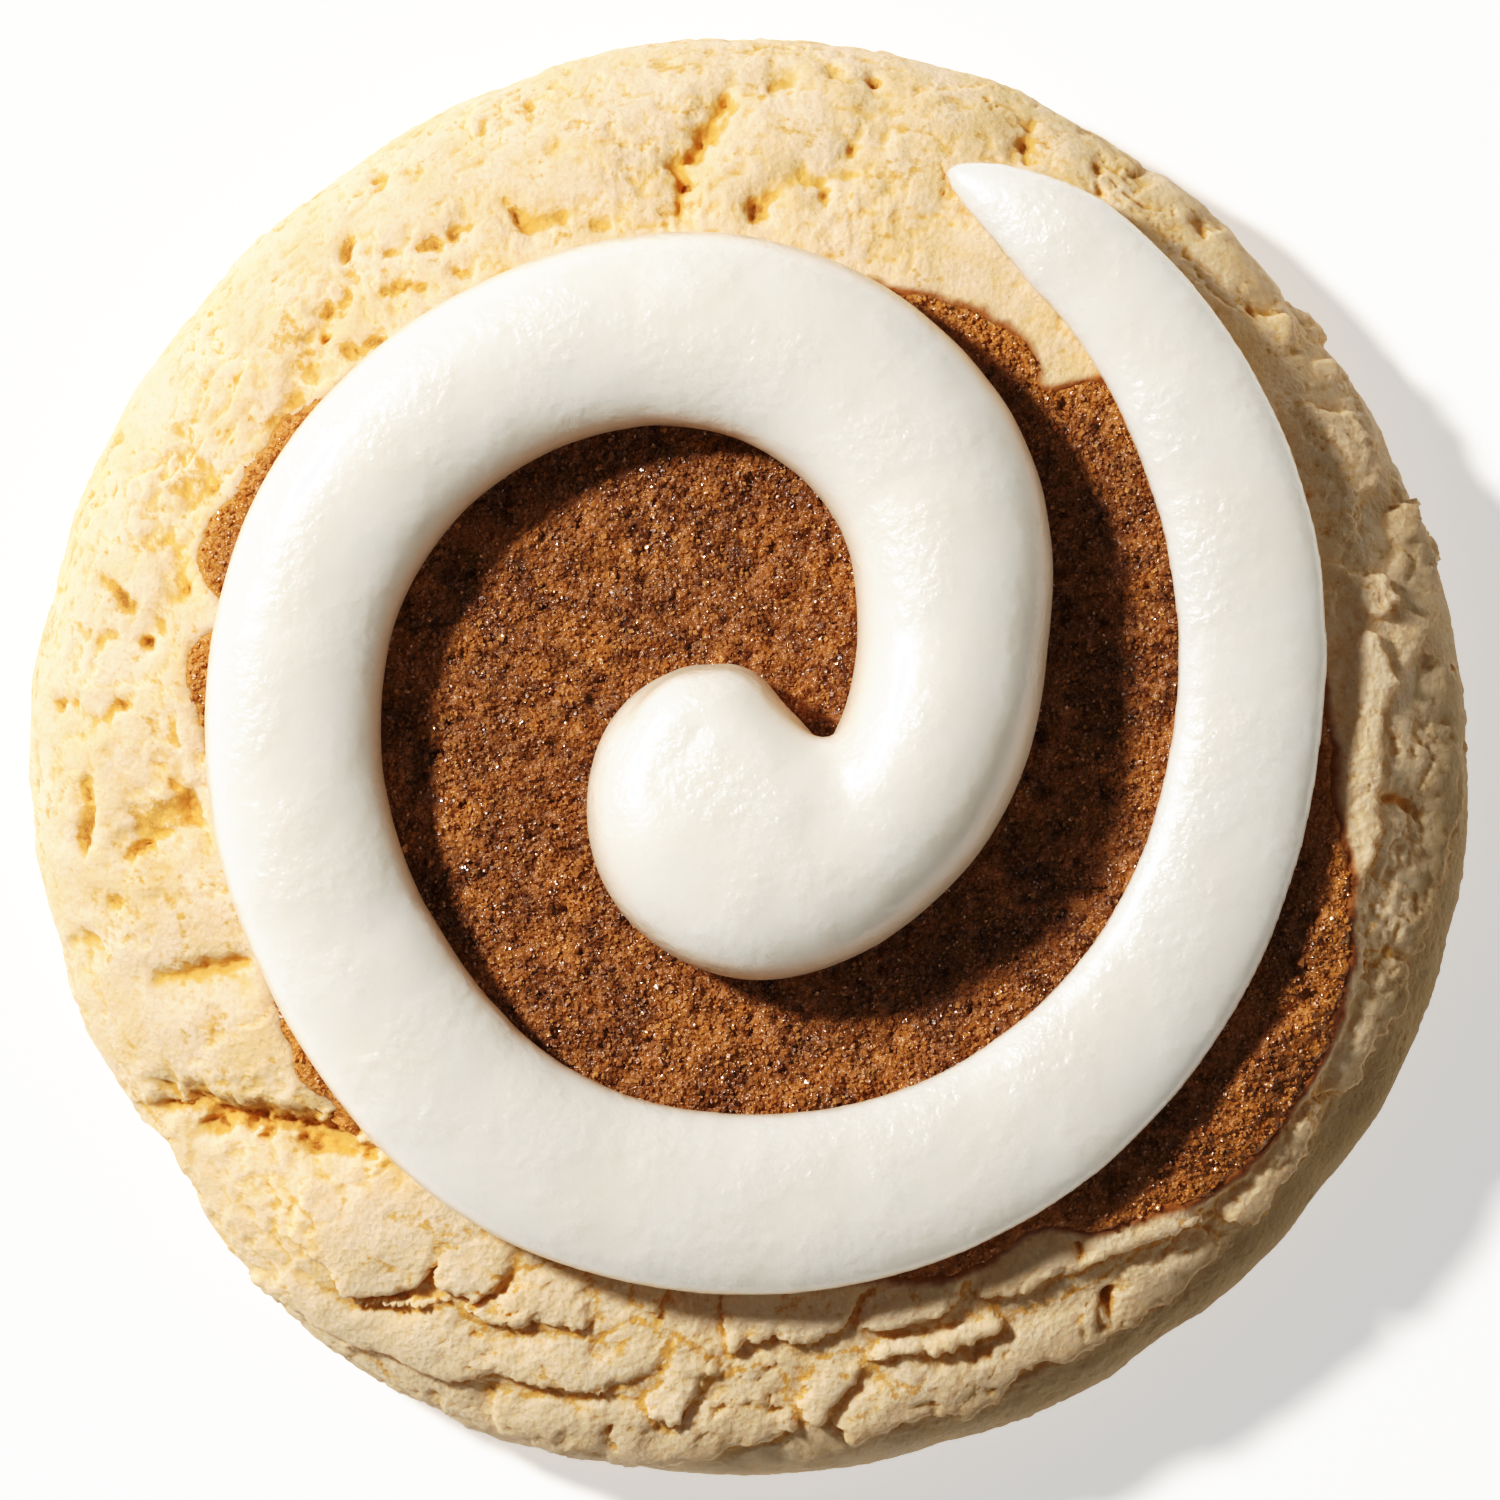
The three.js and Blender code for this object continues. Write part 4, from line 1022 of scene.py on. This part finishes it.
def rope_stations():
    """Points of the rope: x, y, half width, height."""
    fine = np.arange(ROPE_START, ROPE_END + 0.01, 0.1)
    place = (fine - ROPE_START) / ROPE_STEP
    radius = smooth_value(ROPE_RADII, place, False)
    width = smooth_value(ROPE_WIDTHS, place, False)
    x, y = radius * np.cos(np.radians(fine)), radius * np.sin(np.radians(fine))
    run = np.concatenate([[0], np.cumsum(np.hypot(np.diff(x), np.diff(y)))])
    width = np.minimum(width, TAIL_TIP + TAIL_WIDTH * ((run[-1] - run) / TAIL_LENGTH) ** TAIL_POWER)
    line = np.stack([run, np.zeros_like(run), np.zeros_like(run)], axis=1)
    width = width * (1 + ROPE_WAVER * layered(line, ROPE_WAVER_LENGTH, 101, 3, 0.75))
    height = width * ROPE_HEIGHT_RATIO * smooth_value(ROPE_LIFT, place, False)
    height = np.where(fine < 0, np.maximum(height, INNER_TIP_HEIGHT), height)
    wanted = np.arange(0, run[-1], STATION_PITCH)
    columns = [np.interp(wanted, run, values) for values in (x, y, width / 2, height)]
    return np.stack(columns, axis=1)


def along_rope(points):
    """For each point, how far along the rope it lies and how far out from its middle line."""
    line = rope_stations()[:, :2]
    way = np.gradient(line, axis=0)
    way /= np.linalg.norm(way, axis=1, keepdims=True)
    along, across = [], []
    for part in np.array_split(points[:, :2], BATCHES):
        nearest = np.argmin(((part[:, None] - line[None]) ** 2).sum(axis=2), axis=1)
        off = part - line[nearest]
        along.append(nearest * STATION_PITCH + (off * way[nearest]).sum(axis=1))
        across.append(off[:, 0] * way[nearest, 1] - off[:, 1] * way[nearest, 0])
    return np.concatenate(along), np.concatenate(across)


def add_blob(field, axes, x, y, radius_x, radius_y, height):
    """Joins a round, slightly flattened blob of icing, standing on the cookie, to the field."""
    floor = float(top_height(np.array([x]), np.array([y]))[0])
    centre = (x, y, floor + height * SECTION_CENTRE)
    radii = (radius_x, radius_y, height * (1 - SECTION_CENTRE))
    reach = [r * SECTION_SINK + 2.0 for r in radii]
    window = tuple(
        slice(*np.searchsorted(axis, (c - r, c + r))) for axis, c, r in zip(axes, centre, reach))
    gx, gy, gz = np.meshgrid(*(axis[w] for axis, w in zip(axes, window)), indexing="ij", sparse=True)
    rise = gz - centre[2]
    vertical = np.where(rise > 0, radii[2], height * SECTION_CENTRE * SECTION_SINK)
    level = np.sqrt(((gx - x) / radii[0]) ** 2 + ((gy - y) / radii[1]) ** 2)
    size = (level**SECTION_POWER + np.abs(rise / vertical) ** SECTION_POWER) ** (1 / SECTION_POWER)
    field[window] = np.minimum(field[window], (size - 1) * min(radii))


def melted_together(one, two, softness):
    """The union of two fields, with the crease between them filled."""
    share = np.clip(0.5 + 0.5 * (one - two) / softness, 0, 1)
    return one + (two - one) * share - softness * share * (1 - share)


def surface_net(field, axes):
    """The zero surface of a field on a grid, as vertices and quads."""
    inside = field < 0
    shape = np.array(field.shape) - 1
    count = np.zeros(shape, np.int8)
    for i, j, k in product((0, 1), repeat=3):
        count += inside[i:shape[0] + i, j:shape[1] + j, k:shape[2] + k]
    active = (count > 0) & (count < 8)
    number = np.full(shape, -1)
    number[active] = np.arange(active.sum())
    cell = np.stack(np.nonzero(active), axis=1)
    total = np.zeros((len(cell), 3))
    hits = np.zeros(len(cell))
    unit = np.eye(3, dtype=int)
    for axis in range(3):
        one, two = [n for n in range(3) if n != axis]
        for a, b in product((0, 1), repeat=2):
            start = unit[one] * a + unit[two] * b
            low = field[tuple((cell + start).T)]
            high = field[tuple((cell + start + unit[axis]).T)]
            crosses = (low < 0) != (high < 0)
            t = low[crosses] / (low[crosses] - high[crosses])
            total[crosses] += start + unit[axis] * t[:, None]
            hits[crosses] += 1
    place = cell + total / hits[:, None]
    vertices = np.stack([np.interp(place[:, n], np.arange(len(axes[n])), axes[n]) for n in range(3)], axis=1)
    quads = []
    for axis in range(3):
        one, two = [n for n in range(3) if n != axis]
        low = np.take(inside, range(field.shape[axis] - 1), axis)
        high = np.take(inside, range(1, field.shape[axis]), axis)
        at = np.stack(np.nonzero(low != high), axis=1)
        at = at[(at[:, one] > 0) & (at[:, two] > 0) & (at[:, one] < shape[one]) & (at[:, two] < shape[two])]
        loop = [at - unit[one] - unit[two], at - unit[two], at, at - unit[one]]
        quad = np.stack([number[tuple(c.T)] for c in loop], axis=1)
        flip = low[tuple(at.T)] ^ (axis == 1)
        quad[~flip] = quad[~flip][:, ::-1]
        quads.append(quad)
    return vertices, np.concatenate(quads)


def icing_swirl():
    low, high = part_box("icing_swirl")
    margin = 2.5
    axes = [np.arange(low[n] / MM - margin, high[n] / MM + margin, ICING_CELL) for n in range(3)]
    field = np.full([len(axis) for axis in axes], OUTSIDE)
    stations = rope_stations()
    started = np.cumsum(stations[:, 2] * 2 > ROPE_FROM_WIDTH) > 0
    for x, y, half, height in stations[started]:
        add_blob(field, axes, x, y, half, half, height)
    fill = np.full_like(field, OUTSIDE)
    add_blob(fill, axes, *CURL_FILL)
    tip = np.full_like(field, OUTSIDE)
    for (ax, ay, ar, ah), (bx, by, br, bh) in zip(TIP, TIP[1:]):
        for t in np.linspace(0, 1, TIP_STEPS):
            radius = ar + (br - ar) * t
            add_blob(tip, axes, ax + (bx - ax) * t, ay + (by - ay) * t, radius, radius, ah + (bh - ah) * t)
    high_up = smoothstep(axes[2] - COOKIE_HEIGHT, JOIN_FROM, JOIN_TO)
    field = melted_together(field, fill, JOIN_LOW + JOIN_FILL * high_up)
    field = melted_together(field, tip, JOIN_LOW + JOIN_TIP * high_up)
    gx, gy = np.meshgrid(axes[0], axes[1], indexing="ij")
    floor = top_height(gx, gy) - ICING_SINK
    field = np.maximum(field, floor[:, :, None] - axes[2][None, None, :])
    vertices, quads = surface_net(field, axes)
    vertices[:, 2] += 0.08 * layered(vertices, 5.0, 103, 2)
    along, across = along_rope(vertices)
    rise = vertices[:, 2] - top_height(vertices[:, 0], vertices[:, 1])
    obj = mesh_object(
        "piped_icing", vertices, quads, {"along": along, "across": across, "rise": rise})
    normals = np.zeros(len(vertices) * 3)
    obj.data.vertices.foreach_get("normal", normals)
    steep = obj.data.attributes.new("steep", "FLOAT", "POINT")
    steep.data.foreach_set("value", 1 - normals[2::3])
    ease = obj.modifiers.new("ease", "SMOOTH")
    ease.factor = 0.5
    ease.iterations = 5
    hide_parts("icing_swirl")
    return obj


# ----- Loose sugar

CRYSTALS = 16000
CRYSTAL_AREA = ((-46, 50), (-50, 46))  # where they are tried, in x and in y
CRYSTAL_SIZES = (0.2, 0.38)
BIG_CRYSTALS, BIG_CRYSTAL_SCALE = 0.04, 1.4  # the share of larger ones, and how much larger


def scattered_bits(name, places, sizes, seed, tones):
    """Small angular grains at places, each turned and squashed at random, joined in one mesh."""
    rng = np.random.default_rng(seed)
    cube = np.array(list(product((-1, 1), repeat=3)), float)
    quads = np.array([(0, 1, 3, 2), (4, 6, 7, 5), (0, 4, 5, 1), (2, 3, 7, 6), (0, 2, 6, 4), (1, 5, 7, 3)])
    count = len(places)
    shape = cube[None] * rng.uniform(0.55, 1.0, (count, 1, 3)) + rng.uniform(-0.25, 0.25, (count, 8, 3))
    turn = rng.normal(size=(count, 4))
    turn /= np.linalg.norm(turn, axis=1, keepdims=True)
    w, x, y, z = turn.T
    rotation = np.stack([
        1 - 2 * (y * y + z * z), 2 * (x * y - w * z), 2 * (x * z + w * y),
        2 * (x * y + w * z), 1 - 2 * (x * x + z * z), 2 * (y * z - w * x),
        2 * (x * z - w * y), 2 * (y * z + w * x), 1 - 2 * (x * x + y * y)], axis=1).reshape(-1, 3, 3)
    vertices = np.einsum("nij,nkj->nki", rotation, shape) * sizes[:, None, None] / 2 + places[:, None, :]
    faces = (quads[None] + 8 * np.arange(count)[:, None, None]).reshape(-1, 4)
    spread = {key: np.repeat(values, 8) for key, values in tones.items()}
    return mesh_object(name, vertices.reshape(-1, 3), faces, spread, smooth=False)


def under_icing(x, y, margin):
    """Whether places lie under the rope of icing, more than margin inside its edge."""
    line = rope_stations()
    hidden = []
    for px, py in zip(np.array_split(x, BATCHES), np.array_split(y, BATCHES)):
        distance = np.hypot(px[:, None] - line[:, 0], py[:, None] - line[:, 1])
        hidden.append((distance < line[:, 2] - margin).any(axis=1))
    return np.concatenate(hidden)


def sugar_grains():
    """Loose crystals of cinnamon sugar over the patch, where the icing leaves it bare."""
    rng = np.random.default_rng(7)
    x, y = (rng.uniform(*ends, CRYSTALS * 8) for ends in CRYSTAL_AREA)
    keep = (inside_patch(x, y) > rng.uniform(-0.3, 0.5, len(x))) & ~under_icing(x, y, 1.0)
    x, y = x[keep][:CRYSTALS], y[keep][:CRYSTALS]
    z, _, thin = filling_height(x, y)
    size = rng.uniform(*CRYSTAL_SIZES, len(x))
    size = size * np.where(rng.random(len(x)) < BIG_CRYSTALS, BIG_CRYSTAL_SCALE, 1.0)
    places = np.stack([x, y, z], axis=1)
    tones = {"tone": rng.uniform(0, 1, len(x)), "thin": thin}
    return scattered_bits("sugar_crystals", places, size, 9, tones)


def crystal_look():
    look = Look("sugar_crystals")
    tone = look.attribute("tone")
    _, colour = look.grains(0.16)
    tint = cinnamon_tint(look)
    dark = look.mix(look.ramp(tone, 0.35, 0.0, 0.0, 0.25), tint, srgb(66, 32, 12))
    light = look.mix(look.ramp(tone, 0.55, 1.0, 0.0, 0.5), dark, srgb(226, 166, 104))
    edge = look.mix(look.math("MULTIPLY", look.attribute("thin"), 0.7), light, srgb(216, 142, 66))
    look.set(
        Base_Color=edge,
        Roughness=look.ramp(tone, 0.2, 1.0, 0.4, 0.14),
        Normal=look.facets(colour, 0.6),
        Specular_IOR_Level=0.8,
    )
    return look.material


# ----- Studio

FRAME_WIDTH = 112.65  # across the picture, at the height of the cookie's widest place
CAMERA_DISTANCE = 1600.0
CAMERA_OFF = (0.07, 0.44)  # from the middle of the part, in x and y
SENSOR = 36.0
# Each light: azimuth counter-clockwise from +X, elevation, size in metres, watts and colour.
KEY = (150.0, 42.5, 0.15, 17.4, (1.0, 0.985, 0.965))
FILL = (-20.0, 40.0, 0.5, 1.0, (1.0, 0.98, 0.94))
LIGHT_DISTANCE = 1.1  # in metres
SKY_COLOUR, SKY_STRENGTH = (1.0, 0.975, 0.92, 1), 0.085
FLOOR_HALF = 1.5  # half its width, in metres
FLOOR_DROP = 0.05  # how far it lies below the base, so that the two don't mix
FLOOR_GLOW = 0.5  # how much light the floor gives off, to stay as pale as a lit backdrop


def camera():
    data = bpy.data.cameras.new("camera")
    data.sensor_width = SENSOR
    data.lens = SENSOR * CAMERA_DISTANCE / FRAME_WIDTH
    data.clip_end = 20
    obj = bpy.data.objects.new("camera", data)
    middle = (cad_low + cad_high) / 2
    x, y = middle.x + CAMERA_OFF[0] * MM, middle.y + CAMERA_OFF[1] * MM
    obj.location = (x, y, (BELLY_HEIGHT + CAMERA_DISTANCE) * MM)
    bpy.context.scene.collection.objects.link(obj)
    bpy.context.scene.camera = obj


def area_light(name, azimuth, elevation, size, power, colour):
    data = bpy.data.lights.new(name, "AREA")
    data.shape = "DISK"
    data.size = size
    data.energy = power
    data.color = colour
    obj = bpy.data.objects.new(name, data)
    a, e = math.radians(azimuth), math.radians(elevation)
    way = Vector((math.cos(a) * math.cos(e), math.sin(a) * math.cos(e), math.sin(e)))
    obj.location = way * LIGHT_DISTANCE
    obj.rotation_euler = (-obj.location).to_track_quat("-Z", "Y").to_euler()
    bpy.context.scene.collection.objects.link(obj)


# The picture's tone curve, in linear light: deeper shades, and a gentle roll off to white.
TONE_CURVE = [
    (0, 0), (0.05, 0.027), (0.14, 0.115), (0.28, 0.27), (0.5, 0.5), (0.7, 0.65), (0.9, 0.775),
    (1.05, 0.86), (1.25, 0.94), (1.6, 0.985), (2.4, 1),
]


def soft_highlights(view):
    view.use_curve_mapping = True
    mapping = view.curve_mapping
    mapping.clip_max_x = TONE_CURVE[-1][0]
    points = mapping.curves[3].points
    while len(points) < len(TONE_CURVE):
        points.new(0.5, 0.5)
    for point, place in zip(points, TONE_CURVE):
        point.location = place
    mapping.update()


def studio():
    area_light("key", *KEY)
    area_light("fill", *FILL)
    world = bpy.data.worlds.new("world")
    world.use_nodes = True
    background = world.node_tree.nodes["Background"]
    background.inputs["Color"].default_value = SKY_COLOUR
    background.inputs["Strength"].default_value = SKY_STRENGTH
    bpy.context.scene.world = world
    half = FLOOR_HALF / MM
    corners = np.array([(a * half, b * half, -FLOOR_DROP) for a, b in ((-1, -1), (1, -1), (1, 1), (-1, 1))])
    floor = mesh_object("floor", corners, [(0, 1, 2, 3)], smooth=False)
    look = Look("pale_floor")
    look.set(Base_Color=srgb(244, 243, 240), Roughness=0.8)
    look.set(Emission_Color=(1, 1, 1, 1), Emission_Strength=FLOOR_GLOW)
    floor.data.materials.append(look.material)
    floor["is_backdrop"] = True
    view = bpy.context.scene.view_settings
    view.view_transform = "Standard"
    view.look = "None"
    soft_highlights(view)


def dress():
    camera()
    studio()
    looks = {
        baked_dough(): dough_look(),
        cinnamon_filling(): cinnamon_look(),
        icing_swirl(): icing_look(),
        sugar_grains(): crystal_look(),
    }
    for obj, material in looks.items():
        obj.data.materials.append(material)
        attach(obj, "root")


dress()
